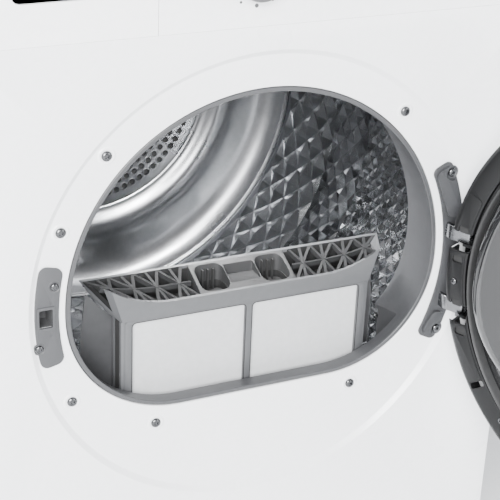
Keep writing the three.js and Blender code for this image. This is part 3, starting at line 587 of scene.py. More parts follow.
def metal(name, base, low, high, stretch=(40.0, 40.0, 900.0), depth=0.1, drift=0.08, **settings):
    """Drawn, brushed or polished metal."""
    made, tree, shader = blank(name, Metallic=1.0, **settings)
    drifted = effect(tree, "film", {"Color": base, "Amount": drift, "Scale": 20.0})
    lines = effect(tree, "drawn", {"Stretch": stretch, "Depth": depth, "Low": low, "High": high})
    tree.links.new(drifted.outputs["Color"], shader.inputs["Base Color"])
    tree.links.new(lines.outputs["Roughness"], shader.inputs["Roughness"])
    tree.links.new(lines.outputs["Normal"], shader.inputs["Normal"])
    return made


def woven(name, base, pitch, rough=0.8, **settings):
    """A fine woven cloth drawn along the part's own axes."""
    made, tree, shader = blank(name, **settings)
    place = node(tree, "ShaderNodeTexCoord").outputs["Object"]
    waves = []
    for direction in ("X", "Z"):
        waves.append(node(tree, "ShaderNodeTexWave", {
            "Vector": place, "Scale": 0.314 / pitch, "Distortion": 0.3, "Detail": 1.0},
            bands_direction=direction).outputs["Fac"])
    weave = node(tree, "ShaderNodeMath", {0: waves[0], 1: waves[1]}, operation="MULTIPLY")
    drifted = effect(tree, "film", {"Color": base, "Amount": 0.07, "Scale": 6.0})
    shade = node(tree, "ShaderNodeHueSaturation", {
        "Color": drifted.outputs["Color"], "Value": between(tree, weave.outputs[0], 0.86, 1.04, 0.0, 1.0)})
    bump = node(tree, "ShaderNodeBump", {"Strength": 0.35, "Distance": 0.0003, "Height": weave.outputs[0]})
    tree.links.new(shade.outputs["Color"], shader.inputs["Base Color"])
    tree.links.new(bump.outputs["Normal"], shader.inputs["Normal"])
    shader.inputs["Roughness"].default_value = rough
    return made


def fibrous(name, base, **settings):
    """Pressed felt: matted fibres."""
    made, tree, shader = blank(name, Roughness=0.95, **settings)
    place = node(tree, "ShaderNodeTexCoord").outputs["Object"]
    hairs = node(tree, "ShaderNodeTexNoise", {
        "Vector": place, "Scale": 700.0, "Detail": 6.0, "Distortion": 2.5}).outputs["Fac"]
    drifted = effect(tree, "film", {"Color": base, "Amount": 0.25, "Scale": 30.0})
    shade = node(tree, "ShaderNodeHueSaturation", {
        "Color": drifted.outputs["Color"], "Value": between(tree, hairs, 0.7, 1.15)})
    bump = node(tree, "ShaderNodeBump", {"Strength": 0.6, "Distance": 0.0008, "Height": hairs})
    tree.links.new(shade.outputs["Color"], shader.inputs["Base Color"])
    tree.links.new(bump.outputs["Normal"], shader.inputs["Normal"])
    return made


def finned(name, base, pitch):
    """A pack of thin aluminium fins, seen edge on, with painted shade in the gaps between them."""
    made, tree, shader = blank(name, Metallic=1.0, Roughness=0.35)
    place = node(tree, "ShaderNodeTexCoord").outputs["Object"]
    fins = node(tree, "ShaderNodeTexWave", {
        "Vector": place, "Scale": 0.314 / pitch, "Distortion": 0.15}, bands_direction="X").outputs["Fac"]
    drifted = effect(tree, "film", {"Color": base, "Amount": 0.15, "Scale": 25.0})
    # The dark bands are painted shade in the gaps between the fins.
    shade = node(tree, "ShaderNodeHueSaturation", {
        "Color": drifted.outputs["Color"], "Value": between(tree, fins, 0.25, 1.1, 0.1, 0.8)})
    bump = node(tree, "ShaderNodeBump", {"Strength": 0.7, "Distance": 0.0015, "Height": fins})
    tree.links.new(shade.outputs["Color"], shader.inputs["Base Color"])
    tree.links.new(bump.outputs["Normal"], shader.inputs["Normal"])
    return made


def tracked(name, base):
    """A circuit board with copper tracks under its lacquer."""
    made, tree, shader = blank(name, Roughness=0.4)
    place = node(tree, "ShaderNodeTexCoord").outputs["Object"]
    cells = node(tree, "ShaderNodeTexVoronoi", {"Vector": place, "Scale": 130.0}, distance="CHEBYCHEV")
    track = between(tree, cells.outputs["Distance"], 0.0, 1.0, 0.42, 0.46)
    mix = node(tree, "ShaderNodeMix", {0: track, 6: base, 7: (0.08, 0.22, 0.1, 1.0)}, data_type="RGBA")
    bump = node(tree, "ShaderNodeBump", {"Strength": 0.3, "Distance": 0.0003, "Height": track})
    tree.links.new(mix.outputs[2], shader.inputs["Base Color"])
    tree.links.new(bump.outputs["Normal"], shader.inputs["Normal"])
    return made


def glass(name, base, rough=0.05, weight=0.35):
    """Tinted glass or clear plastic that lets some light through."""
    made, tree, shader = blank(
        name, Transmission_Weight=weight, IOR=1.5, Coat_Weight=0.6, Coat_Roughness=0.03)
    drifted = effect(tree, "film", {"Color": base, "Amount": 0.08, "Scale": 4.0})
    smears = effect(tree, "moulded", {"Grain": 60.0, "Depth": 0.01, "Roughness": rough + 0.03, "Spread": rough})
    tree.links.new(drifted.outputs["Color"], shader.inputs["Base Color"])
    tree.links.new(smears.outputs["Roughness"], shader.inputs["Roughness"])
    return made


def grey(value):
    return (value, value * 1.015, value * 1.05, 1.0)


FINISHES = {
    "enamel": lambda: plastic(
        "White enamel", tint("enamel"), 0.3, 0.05, 420.0, 0.04, 0.03, Coat_Weight=0.5, Coat_Roughness=0.12),
    "white plastic": lambda: plastic(
        "White plastic", tint("white_plastic"), 0.36, 0.05, 1600.0, 0.06, 0.035, Coat_Weight=0.15),
    "laminate": lambda: plastic("White laminate", tint("white_plastic"), 0.42, 0.05, 900.0, 0.12, 0.03),
    "collar": lambda: plastic("Grey plastic", tint("collar"), 0.4, 0.07, 1800.0, 0.16, 0.08),
    "filter": lambda: plastic("Filter grey", tint("filter_grey"), 0.42, 0.08, 2200.0, 0.14, 0.07),
    # The truss finish darkens the ribs well below the fascia: their own dark grey with painted shade among them.
    "truss": lambda: plastic("Truss grey with painted shade", tint("truss"), 0.6, 0.08, 2000.0, 0.2, 0.1, Specular_IOR_Level=0.2),
    "handle": lambda: plastic("Handle grey", grey(0.026), 0.5, 0.07, 2200.0, 0.14, 0.07, Specular_IOR_Level=0.35),
    "plate": lambda: plastic("Plate grey", tint("plate"), 0.42, 0.06, 2400.0, 0.14, 0.06),
    "door grey": lambda: plastic("Door grey", tint("door_grey"), 0.42, 0.07, 2600.0, 0.14, 0.1, Specular_IOR_Level=0.3),
    "dark plastic": lambda: plastic("Dark plastic", grey(0.06), 0.45, 0.08, 1600.0, 0.2, 0.15),
    # Near-black finish: painted shade on the filter head's lining, sleeves and fins, the door's slot backs, the filter
    # frame's lines and the sheet behind the drum's disc; on the knob's mark it is the mark's own dark colour.
    "hollow": lambda: plastic("Painted shade and dark marks", grey(0.006), 0.8, 0.1, 900.0, 0.3, 0.2),
    "black gloss": lambda: plastic("Black gloss", grey(0.01), 0.08, 0.03, 300.0, 0.02, 0.1, Coat_Weight=1.0),
    "lens": lambda: plastic(
        "Door bowl", tint("lens"), 0.1, 0.03, 40.0, 0.02, 0.06, Coat_Weight=1.0, Coat_Roughness=0.04),
    "window": lambda: glass("Tinted glass", tint("lens"), 0.04, 0.3),
    "steel": lambda: metal("Polished steel", tint("steel"), 0.09, 0.14, (30.0, 30.0, 500.0), 0.0),
    "spun steel": lambda: metal("Spun steel", grey(0.26), 0.27, 0.33, (8.0, 8.0, 8.0), 0.0),
    "painted steel": lambda: plastic("Painted steel", tint("plate"), 0.36, 0.08, 700.0, 0.1, 0.08, Metallic=0.3),
    "zinc": lambda: metal("Zinc plate", tint("zinc"), 0.28, 0.45, (260.0, 260.0, 260.0), 0.14),
    "bright steel": lambda: metal("Bright steel", grey(0.22), 0.18, 0.3, (60.0, 60.0, 1500.0), 0.2),
    "screw": lambda: metal("Screw steel", grey(0.11), 0.18, 0.3, (500.0, 500.0, 500.0), 0.12),
    "galvanised": lambda: plastic("Galvanised sheet", grey(0.42), 0.42, 0.1, 60.0, 0.05, 0.12, Metallic=0.55),
    "knob": lambda: plastic("Silver plastic", grey(0.13), 0.3, 0.06, 1400.0, 0.06, 0.05, Metallic=0.6),
    "lit": lambda: plastic(
        "Lit segments", grey(0.7), 0.4, 0.02, 400.0, 0.0, 0.02,
        Emission_Color=(0.75, 0.9, 1.0, 1.0), Emission_Strength=1.6),
    "cast metal": lambda: plastic("Painted casting", grey(0.18), 0.55, 0.12, 500.0, 0.5, 0.2, Metallic=0.6),
    "copper": lambda: metal("Copper", (0.55, 0.26, 0.13, 1.0), 0.25, 0.45, (90.0, 90.0, 90.0), 0.1),
    "rubber": lambda: plastic("Rubber", grey(0.022), 0.75, 0.1, 1400.0, 0.3, 0.25),
    "felt": lambda: fibrous("Grey felt", grey(0.5), Sheen_Weight=0.4),
    "fabric": lambda: woven("Filter cloth", tint("fabric"), 0.0005, 0.75, Sheen_Weight=0.2),
    "tank plastic": lambda: plastic("Milky plastic", grey(0.72), 0.4, 0.08, 500.0, 0.06, 0.06, Transmission_Weight=0.15),
    "fins": lambda: finned("Aluminium fins with painted gap shade", grey(0.62), 0.0022),
    "board": lambda: tracked("Circuit board", (0.02, 0.09, 0.035, 1.0)),
    "floor": lambda: plastic("Studio floor", tint("floor"), 0.6, 0.05, 300.0, 0.02, 0.02),
}


def finish(name):
    """A finish by name, made the first time it is asked for."""
    made = bpy.data.materials.get("finish " + name)
    if not made:
        made = FINISHES[name]()
        made.name = "finish " + name
    return made


# ---- Shapes that several pieces share ----
def strips(plane, sections, capped=False):
    """A skin bridged loop by loop, for loops that may share a depth."""
    loops = [draw(plane, shape, depth) for depth, shape in sections]
    bands = []
    for near, far in zip(loops, loops[1:]):
        strip = joined([copied(near), copied(far)])
        editing(strip)
        bpy.ops.mesh.bridge_edge_loops()
        done()
        bands.append(strip)
    for loop in loops:
        bpy.data.objects.remove(loop)
    skin = joined(bands)
    editing(skin)
    bpy.ops.mesh.remove_doubles(threshold=4e-6)
    if capped:
        bpy.ops.mesh.select_all(action="SELECT")
        bpy.ops.mesh.fill_holes(sides=0)
    outward()
    done()
    return skin


def facing(piece, direction):
    """Turns an open sheet's faces to look along a direction."""
    editing(piece)
    bpy.ops.mesh.remove_doubles(threshold=4e-6)
    outward()
    done()
    if sum(face.normal.dot(direction) * face.area for face in piece.data.polygons) < 0:
        editing(piece)
        bpy.ops.mesh.flip_normals()
        done()
    return piece


def eased(points, parts=4):
    """A smooth run through points."""
    run = []
    for i in range(len(points) - 1):
        before, a, b = points[max(i - 1, 0)], points[i], points[i + 1]
        after = points[min(i + 2, len(points) - 1)]
        for k in range(parts):
            t = k / parts
            run.append(tuple(
                0.5 * (2 * a[n] + (b[n] - before[n]) * t
                       + (2 * before[n] - 5 * a[n] + 4 * b[n] - after[n]) * t * t
                       + (3 * a[n] - before[n] - 3 * b[n] + after[n]) * t ** 3) for n in (0, 1)))
    return run + [tuple(points[-1])]


def closed(profile):
    return list(profile) + [profile[0]]


def screw(radius=5.1, height=2.8):
    """A pan-head screw with a six-lobed recess, its head towards the front and its seat at the origin."""
    head = lathe(
        [(0, 0.6), (radius, 0.6), (radius, -0.35 * height), (radius * 0.86, -0.75 * height),
         (radius * 0.6, -0.95 * height), (0, -height)], steps=24)
    lobes = []
    for i in range(12):
        reach = radius * (0.52 if i % 2 else 0.36)
        lobes.append((reach * math.cos(i * math.pi / 6), reach * math.sin(i * math.pi / 6)))
    return combined(head, [plate("XZ", polygon(lobes), -height - 1, -0.35 * height)])


def washer(inner, outer, height=0.9):
    """A soft raised ring around a screw, its seat at the origin."""
    middle = (inner + outer) / 2
    return lathe(closed([
        (inner, 0.3), (inner, -0.35 * height), (inner + 0.7, -0.8 * height), (middle, -height),
        (outer - 1.2, -0.6 * height), (outer, -0.05), (outer, 0.3)]), steps=32)


def spread(make, places):
    """One model, copied to every place (x, y, z) and joined."""
    model = make()
    copies = [shifted(copied(model), *place) for place in places[1:]]
    return joined([shifted(model, *places[0]), *copies])


def around(radius, degrees, y, z=None):
    """A point of a circle about the opening's middle."""
    angle = math.radians(degrees)
    return radius * math.cos(angle), y, (MOUTH_Z if z is None else z) + radius * math.sin(angle)


def bar(start, end, depth=5.0):
    """A straight rib between two points, its top edge through them."""
    start, end = Vector(start), Vector(end)
    run = end - start
    along = run.normalized()
    across = along.cross(Vector((0, 0, 1))).normalized()
    down = along.cross(across)
    clear()
    bpy.ops.mesh.primitive_cube_add(size=1)
    rib = bpy.context.object
    turn = Matrix((along, across, down)).transposed().to_4x4()
    size = Matrix.Diagonal((run.length / MM, mm("truss_bar") / MM, depth / MM, 1.0))
    middle = (start + end) / 2 - Vector((0, 0, depth / 2))
    rib.matrix_world = Matrix.Translation(middle / MM) @ turn @ size
    return rib


def opened(piece):
    """Swings a door piece, drawn closed, to where the door stands open."""
    return turned_about(piece, DOOR_SWING, "Z", HINGE)


ARM_HEIGHT = 16.0
ARMS = [MOUTH_Z + 26.7, MOUTH_Z - 55.4]


# ---- Front of the cabinet ----
class DRYER_OT_front_panel(bpy.types.Operator):
    """Pressed front sheet with the door seat and the loading opening"""

    bl_idname = "dryer.front_panel"
    bl_label = "Front panel"

    def execute(self, context):
        low, high = cad("front_panel")
        flap_low, flap_high = cad("service_flap")
        seat = mm("seat_radius")
        outer = seat + SEAT - FRONT
        steps = context.scene.dryer_sizes.turn_steps
        corners = [rounded((low.x + inset, low.z + inset), (high.x - inset, high.z - inset), 2.5)
                   for inset in (1.0, 0.3, 0.0)]
        hatch = rounded((flap_low.x - 0.9, flap_low.z - 0.9), (flap_high.x + 0.9, flap_high.z + 0.9), 6)
        face = joined([draw("XZ", shape, FRONT) for shape in (
            corners[0], ring(outer + 1.4, 0, MOUTH_Z, steps), hatch)])
        editing(face)
        bpy.ops.mesh.fill(use_beauty=True)
        done()
        rim = strips("XZ", list(zip((FRONT, FRONT + 0.3, FRONT + 1.0), corners)))
        dish = lathe([
            (outer + 1.4, FRONT), (outer + 0.7, FRONT + 0.15), (outer + 0.1, FRONT + 0.55),
            (seat + 0.9, SEAT - 0.55), (seat + 0.2, SEAT - 0.15), (seat - 0.6, SEAT)], z=MOUTH_Z, steps=steps)
        land = strips("XZ", [
            (SEAT, ring(seat - 0.6, 0, MOUTH_Z, steps)), (SEAT, mouth(1.4)), (SEAT + 0.2, mouth(0.6)),
            (SEAT + 0.7, mouth(0.15)), (SEAT + 1.4, mouth(0)), (SEAT + 3.0, mouth(0))])
        sheet = facing(joined([face, rim, dish, land]), Vector((0, -1, 0)))
        thickened(sheet, 0.9)
        catch = cad("door_lock")
        middle = (catch[0].x + catch[1].x) / 2
        combined(sheet, [block((middle - 7, SEAT - 5, MOUTH_Z - 10), (middle + 7, SEAT + 5, MOUTH_Z + 10))])
        put(sheet, "front_sheet", finish("enamel"), "cabinet", 25, ["front_panel"])
        return {"FINISHED"}


class DRYER_OT_seat_screws(bpy.types.Operator):
    """Screws of the door seat, each in a soft raised ring of the sheet"""

    bl_idname = "dryer.seat_screws"
    bl_label = "Seat screws"

    def execute(self, context):
        circle = mm("screw_circle")
        places = [
            around(circle + extra, angle, SEAT)
            for extra, angle in ((2.8, 136.3), (2.3, 157.6), (-1.2, 205.8), (0, 47.3))]
        places += [(side * 111.6, SEAT, MOUTH_Z - 140.3) for side in (1, -1)]
        put(spread(lambda: washer(6.0, 9.2, 0.8), places), "seat_screw_rings", finish("enamel"),
            "cabinet", 50)
        put(spread(screw, places), "seat_screws", finish("screw"), "cabinet", 40)
        return {"FINISHED"}


class DRYER_OT_bulkhead(bpy.types.Operator):
    """Front bulkhead with the grey lip, the flared collar and the filter's shaft"""

    bl_idname = "dryer.bulkhead"
    bl_label = "Front bulkhead"

    def execute(self, context):
        low, high = cad("front_bulkhead")
        flange_back = cad("drum_front_seal")[0].y - 0.3
        clear = 0.8
        inset = clear + mm("lip_width")
        flare = mm("collar_flare")
        wall = 3.0
        fold = SEAT + 1.8
        body = strips("XZ", [
            (low.y, mouth(-clear - 0.6)), (low.y + 0.5, mouth(-clear)), (fold, mouth(-clear)),
            (high.y, mouth(flare + wall - inset))], capped=True)
        flange = plate("XZ", rounded((low.x, low.z + 39), (high.x, high.z), 10), flange_back - 2, flange_back)
        head_low, head_high = cad("filter_head")
        case_low, case_high = cad("filter_frame")
        seated = 100.0
        base = head_low.z - seated
        side = head_high.x + 5.5
        front = case_low.y - 6
        pocket = block((-side - wall, front - wall, base - 2 - wall), (side + wall, flange_back, MOUTH_Z))
        room = block((-side, front, base - 2), (side, flange_back + 20, MOUTH_Z))
        case = case_high.x + 1.5
        duct = block(
            (-case - 2.5, case_low.y - 4, low.z), (case + 2.5, case_high.y + 4, base - 1))
        duct_room = block((-case, case_low.y - 1.5, low.z - 5), (case, case_high.y + 1.5, base + 5))
        throat = strips("XZ", [
            (low.y - 1, mouth(0.5 - inset)), (low.y, mouth(0.5 - inset)), (low.y + 0.6, mouth(-inset)),
            (fold, mouth(-inset)), (high.y - 0.5, mouth(flare - inset)), (high.y + 1, mouth(flare - inset))],
            capped=True)
        combined(body, [flange, pocket, duct], "UNION")
        combined(body, [throat, room, duct_room])
        put(body, "bulkhead", finish("collar"), "cabinet", 30, ["front_bulkhead"])
        ledge = DRUM_FRONT - 0.5
        left = [(-30, 45), (-137, 45), (-163, 17), (-169, 70)]
        outline = [(x, MOUTH_Z - drop) for x, drop in left] + [(-169, base - 2), (169, base - 2)]
        outline += [(-x, MOUTH_Z - drop) for x, drop in reversed(left)]
        dam = plate("XZ", polygon(outline), ledge - 1.1, ledge)
        put(dam, "filter_shaft_wall", finish("collar"), "cabinet", 30)
        places = [(-172.0, flange_back - 2, MOUTH_Z - 98.0), (172.0, flange_back - 2, MOUTH_Z - 98.0)]
        put(spread(lambda: screw(3.0, 1.8), places), "bulkhead_screws", finish("screw"),
            "cabinet", 40)
        return {"FINISHED"}


class DRYER_OT_felt_seal(bpy.types.Operator):
    """Felt ring that the drum's front edge runs on"""

    bl_idname = "dryer.felt_seal"
    bl_label = "Felt seal"

    def execute(self, context):
        low, high = cad("drum_front_seal")
        outer = high.x
        ring_body = lathe(closed([
            (outer - 17, low.y + 0.8), (outer - 16, low.y), (outer - 1, low.y), (outer, low.y + 0.8),
            (outer, high.y - 0.8), (outer - 1, high.y), (outer - 16, high.y), (outer - 17, high.y - 0.8)]),
            z=DRUM_Z)
        tool = strips("XZ", [
            (SEAT, mouth(-0.5)), (SEAT + 1.8, mouth(-0.5)), (SEAT + 66.3, mouth(7.0))], capped=True)
        combined(ring_body, [tool])
        put(ring_body, "felt_ring", finish("felt"), "cabinet", 40, ["drum_front_seal"])
        return {"FINISHED"}


# ---- Drum ----
def embossed(radius, start, end, pitch, depth, scatter, seed):
    """A field of diamonds pressed into a cylinder, each a low four-sided point."""
    rows = max(1, round((end - start) / pitch))
    turns = round(2 * math.pi * radius / pitch)
    step = (end - start) / rows
    profile = [(radius, start + step * i) for i in range(rows + 1)]
    field = lathe(profile, z=DRUM_Z, steps=turns)
    facing_in(field)
    count = len(field.data.vertices)
    editing(field)
    bpy.ops.mesh.poke()
    done()
    mesh = field.data
    for item in (*mesh.vertices, *mesh.edges, *mesh.polygons):
        item.select = False
    for edge in mesh.edges:
        a, b = edge.vertices
        level = mesh.vertices[a].co.y * MM, mesh.vertices[b].co.y * MM
        border = all(abs(y - start) < 0.01 for y in level) or all(abs(y - end) < 0.01 for y in level)
        edge.select = a < count and b < count and not border
    bpy.ops.object.mode_set(mode="EDIT")
    bpy.ops.mesh.select_mode(type="EDGE")
    bpy.ops.mesh.dissolve_edges(use_verts=False)
    bpy.ops.mesh.select_mode(type="VERT")
    bpy.ops.mesh.select_all(action="SELECT")
    bpy.ops.object.mode_set(mode="OBJECT")
    count = len(mesh.vertices)
    bpy.ops.object.mode_set(mode="EDIT")
    bpy.ops.mesh.poke(offset=depth / MM)
    done()
    for item in (*mesh.edges, *mesh.polygons):
        item.select = False
    for vertex in mesh.vertices:
        vertex.select = vertex.index >= count
    bpy.ops.object.mode_set(mode="EDIT")
    bpy.ops.transform.vertex_random(offset=scatter / MM, uniform=1.0, seed=seed)
    done()
    return field


def facing_in(piece):
    """Turns a round skin's faces towards the drum's axis."""
    middle = Vector((0, 0, DRUM_Z / MM))
    editing(piece)
    outward()
    done()
    face = piece.data.polygons[0]
    away = face.center - middle
    if face.normal.dot(Vector((away.x, 0, away.z))) > 0:
        editing(piece)
        bpy.ops.mesh.flip_normals()
        done()


class DRYER_OT_drum_wall(bpy.types.Operator):
    """Stainless drum wall embossed with large diamonds at the rear and fine ones in front"""

    bl_idname = "dryer.drum_wall"
    bl_label = "Drum wall"

    def execute(self, context):
        radius = mm("drum_radius")
        wide, medium, fine = mm("wide_facet"), mm("middle_facet"), mm("fine_facet")
        edge = DRUM_BACK - 14
        change = edge - 3 * wide
        finer = change - 3 * medium
        skin = lathe(closed([
            (radius - 6, DRUM_FRONT + 0.4), (radius - 5.5, DRUM_FRONT), (radius + 1.5, DRUM_FRONT),
            (radius + 1.5, DRUM_BACK), (radius + 0.6, DRUM_BACK), (radius + 0.6, DRUM_FRONT + 1.5),
            (radius - 5.5, DRUM_FRONT + 1.5)]), z=DRUM_Z)
        plain = lathe([(radius + 0.5, DRUM_BACK - 0.5), (radius, DRUM_BACK - 1.5), (radius, edge)], z=DRUM_Z)
        facing_in(plain)
        large = embossed(radius, change, edge, wide, 6.0, 0.5, 4)
        some = embossed(radius, finer, change, medium, 4.2, 0.6, 7)
        small = embossed(radius, DRUM_FRONT + 3, finer, fine, 2.9, 0.8, 9)
        wall = joined([skin, plain, large, some, small])
        put(wall, "drum_wall", finish("steel"), "drum", 3.5, ["drum_shell"])
        return {"FINISHED"}


class DRYER_OT_drum_back(bpy.types.Operator):
    """Pressed rear plate of the drum with its rings and its perforated disc"""

    bl_idname = "dryer.drum_back"
    bl_label = "Drum rear plate"

    def execute(self, context):
        radius = mm("drum_radius")
        start = cad("drum_rear_plate")[0].y
        disc = 156.0
        level = start + 27.6
        rings = [
            (281, 0.2), (279.6, 1.8), (278.2, 0.9), (276.6, 1.6), (274.5, 5.5), (269, 12.5), (262, 18),
            (253, 22), (243, 24.4), (230, 25.2), (218, 24.6), (210, 22.4), (204, 19.4), (199, 17.9),
            (192, 17.4), (186.5, 18.2), (181, 21), (176, 24.6), (171.5, 27), (168, 27.9), (166.4, 29),
            (164.8, 27.9), (161, 27.5), (disc, 27.6)]
        dish = lathe(eased([(r, start + depth) for r, depth in rings], 3), z=DRUM_Z)
        facing(dish, Vector((0, -1, 0)))
        thickened(dish, 0.9)
        sheet = plate("XZ", ring(disc + 0.4, 0, DRUM_Z, context.scene.dryer_sizes.turn_steps), level, level + 0.9)
        hole, pitch = mm("hole_radius"), mm("hole_pitch")
        tools, rims = [], []
        rows = int((disc - 6) // pitch)
        for row in range(1, rows + 1):
            reach = disc - 7.5 - (rows - row) * pitch
            count = round(2 * math.pi * reach / pitch)
            tool = plate("XZ", ring(hole, reach, DRUM_Z, 10), level - 3, level + 3)
            rim = lathe(closed([
                (hole + 1.7, level + 0.2), (hole + 1.5, level - 0.15), (hole + 0.7, level - 0.8),
                (hole, level - 0.75), (hole - 0.25, level + 0.2)]), x=reach, z=DRUM_Z, steps=10)
            for shape in (tool, rim):
                editing(shape)
                bpy.ops.mesh.spin(
                    steps=count - 1, angle=2 * math.pi * (count - 1) / count, dupli=True,
                    center=Vector((0, 0, DRUM_Z)) / MM, axis=Vector((0, 1, 0)))
                done()
            tools.append(tool)
            rims.append(rim)
        combined(sheet, [joined(tools)])
        # A near-black disc behind the perforated disc: painted shade seen through the holes.
        shade = lathe(closed([(2, level + 5), (disc - 2, level + 5), (disc - 2, level + 5.6), (2, level + 5.6)]),
                      z=DRUM_Z)
        put(shade, "drum_disc_shade", finish("hollow"), "drum", 35)
        put(joined([sheet, joined(rims)]), "drum_disc", finish("spun steel"), "drum", 35)
        put(dish, "drum_dish", finish("spun steel"), "drum", 40, ["drum_rear_plate"])
        return {"FINISHED"}


class DRYER_OT_lifters(bpy.types.Operator):
    """The two lifters that carry the laundry round"""

    bl_idname = "dryer.lifters"
    bl_label = "Lifters"

    def execute(self, context):
        low, high = cad("lifter_high")
        foot, crest = mm("drum_radius") - 0.6, mm("drum_radius") - 45.0

        def outline(share):
            height = (foot - crest) * share
            side = [(30, 0), (27.5, 8), (23, 20), (16, 32), (9, 41), (4, 44.4), (0, 45)]
            half = [(width * (0.6 + 0.4 * share), foot - rise * height / 45) for width, rise in side]
            left = [(-width, v) for width, v in reversed(half[:-1])]
            return polygon([(u, DRUM_Z + v) for u, v in half + left])

        ends = [(0, 0.3), (5, 0.6), (14, 0.84), (28, 0.97), (46, 1.0)]
        sections = [(low.y + run, outline(share)) for run, share in ends]
        sections += [(high.y - run, outline(share)) for run, share in reversed(ends)]
        for name, angle in (("lifter_high", -12), ("lifter_low", 168)):
            fin = strips("XZ", sections, capped=True)
            turned_about(fin, math.radians(angle), "Y", (0, 0, DRUM_Z))
            put(fin, name + "_moulding", finish("collar"), "drum", 40, [name])
        return {"FINISHED"}


# ---- Lint filter ----
class DRYER_OT_filter_head(bpy.types.Operator):
    """Head of the lint filter: fascia, truss wings and the handle between its finger holes"""

    bl_idname = "dryer.filter_head"
    bl_label = "Filter head"

    def execute(self, context):
        low, high = cad("filter_head")
        front, back, base, tip = low.y, high.y, low.z, high.x
        top = base + 15.6
        flat = mm("mouth_flat")
        lip = mm("mouth_radius") - math.hypot(flat, mm("mouth_drop")) - 0.8 - mm("lip_width")
        shoulder = 150.0
        rear_top = top + 17.4

        def brow(x, drop=0.0):
            past = max(0.0, abs(x) - flat)
            return top + lip - math.sqrt(lip ** 2 - past ** 2) - drop

        count = 36
        along = [1 - 2 * i / count for i in range(count + 1)]
        face = polygon([(-139, base), (139, base)] + [(t * shoulder, brow(t * shoulder)) for t in along])
        rear = polygon([(-149, base), (149, base)] + [(t * tip, rear_top) for t in along])
        shell = strips("XZ", [(front, face), (back, rear)], capped=True)
        inside = strips("XZ", [
            (front + 2.6, polygon([(-136, base - 5), (136, base - 5), (160, base + 80), (-160, base + 80)])),
            (back - 2.6, polygon([(-146, base - 5), (146, base - 5), (196, base + 80), (-196, base + 80)]))],
            capped=True)
        combined(shell, [inside])
        softened(shell, 0.5, 2)
        # A near-black lining inside the shell: painted shade in the head's hollow.
        shade_lining = strips("XZ", [
            (front + 2.5, polygon([(-136, base + 1), (136, base + 1)]
                                  + [(t * (shoulder - 4), brow(t * shoulder, 4)) for t in along])),
            (back - 2.5, polygon([(-146, base + 1), (146, base + 1)]
                                 + [(t * (tip - 4), rear_top - 4) for t in along]))], capped=True)
        room = strips("XZ", [
            (front + 3.3, polygon([(-135, base + 2.5), (135, base + 2.5), (159, base + 80), (-159, base + 80)])),
            (back - 3.3, polygon([(-145, base + 2.5), (145, base + 2.5), (195, base + 80), (-195, base + 80)]))],
            capped=True)
        combined(shade_lining, [room])
        put(shell, "filter_fascia", finish("filter"), "filter", 30, ["filter_head"])

        def rung(x, share):
            """A point of the wings' sloping top, by its place across and its share of the depth."""
            half = shoulder * (1 - share) + tip * share - 2
            t = x / (shoulder - 2)
            edge = brow(shoulder * t, 1.2) * (1 - share) + (rear_top - 1.2) * share
            return half * t, front + 1.6 + (back - front - 3.2) * share, edge

        bars = []
        blocks = 4
        first, last = 54.0, shoulder - 4
        pitch = (last - first) / blocks
        for side in (-1, 1):
            for i in range(blocks):
                a, b = side * (first + pitch * i), side * (first + pitch * (i + 1))
                middle = (a + b) / 2
                hub = rung(middle, 0.5)
                spokes = [(a, 0), (middle, 0), (b, 0), (b, 0.5), (b, 1), (middle, 1), (a, 1), (a, 0.5)]
                for spoke in spokes:
                    bars.append(bar(hub, rung(*spoke)))
                for near, far in ((0, 1), (1, 2), (4, 5), (5, 6)):
                    bars.append(bar(rung(*spokes[near]), rung(*spokes[far])))
        # The truss finish is darker than the fascia: painted shade among the ribs on top of their own grey.
        put(settled(joined(bars)), "filter_truss", finish("truss"), "filter", 30)

        wide = 54.0
        handle = strips("XZ", [
            (front + 0.4, polygon([(-wide, base + 0.5), (wide, base + 0.5), (wide, top - 0.3), (-wide, top - 0.3)])),
            (back - 0.4, polygon([
                (-wide, base + 0.5), (wide, base + 0.5), (wide, rear_top - 0.2), (-wide, rear_top - 0.2)]))],
            capped=True)
        tools = []
        for side in (-1, 1):
            near, far = sorted((side * 18, side * 50))
            tools.append(plate(
                "XY", rounded((near, front + 4.5), (far, back - 5), 9, 5), base + 4, rear_top + 20))
        tools.append(plate("XY", rounded((-17, front + 11), (17, back - 9), 2, 3), top + 2.5, rear_top + 20))
        combined(handle, tools)
        softened(handle, 1.1, 3)
        sleeves = []
        for side in (-1, 1):
            near, far = sorted((side * 18.3, side * 49.7))
            sleeve = plate("XY", rounded((near, front + 4.8), (far, back - 5.3), 9, 5), base + 3.8, top - 3.5)
            hollow = plate("XY", rounded((near + 0.7, front + 5.5), (far - 0.7, back - 6), 8.4, 5), base + 4.6, top)
            sleeves.append(combined(sleeve, [hollow]))
        put(handle, "filter_handle", finish("handle"), "filter", 30)
        fins = []
        for side in (-1, 1):
            for run in (-6, 0, 6):
                x = side * 34 + run
                fins.append(block((x - 0.7, back - 12, base + 4), (x + 0.7, back - 7.5, rear_top - 6)))
        # Lining, finger-hole sleeves and fins in the near-black finish: painted shade inside the head.
        put(joined([shade_lining, *sleeves, *fins]), "filter_head_inside_painted_shade", finish("hollow"), "filter", 30)
        return {"FINISHED"}


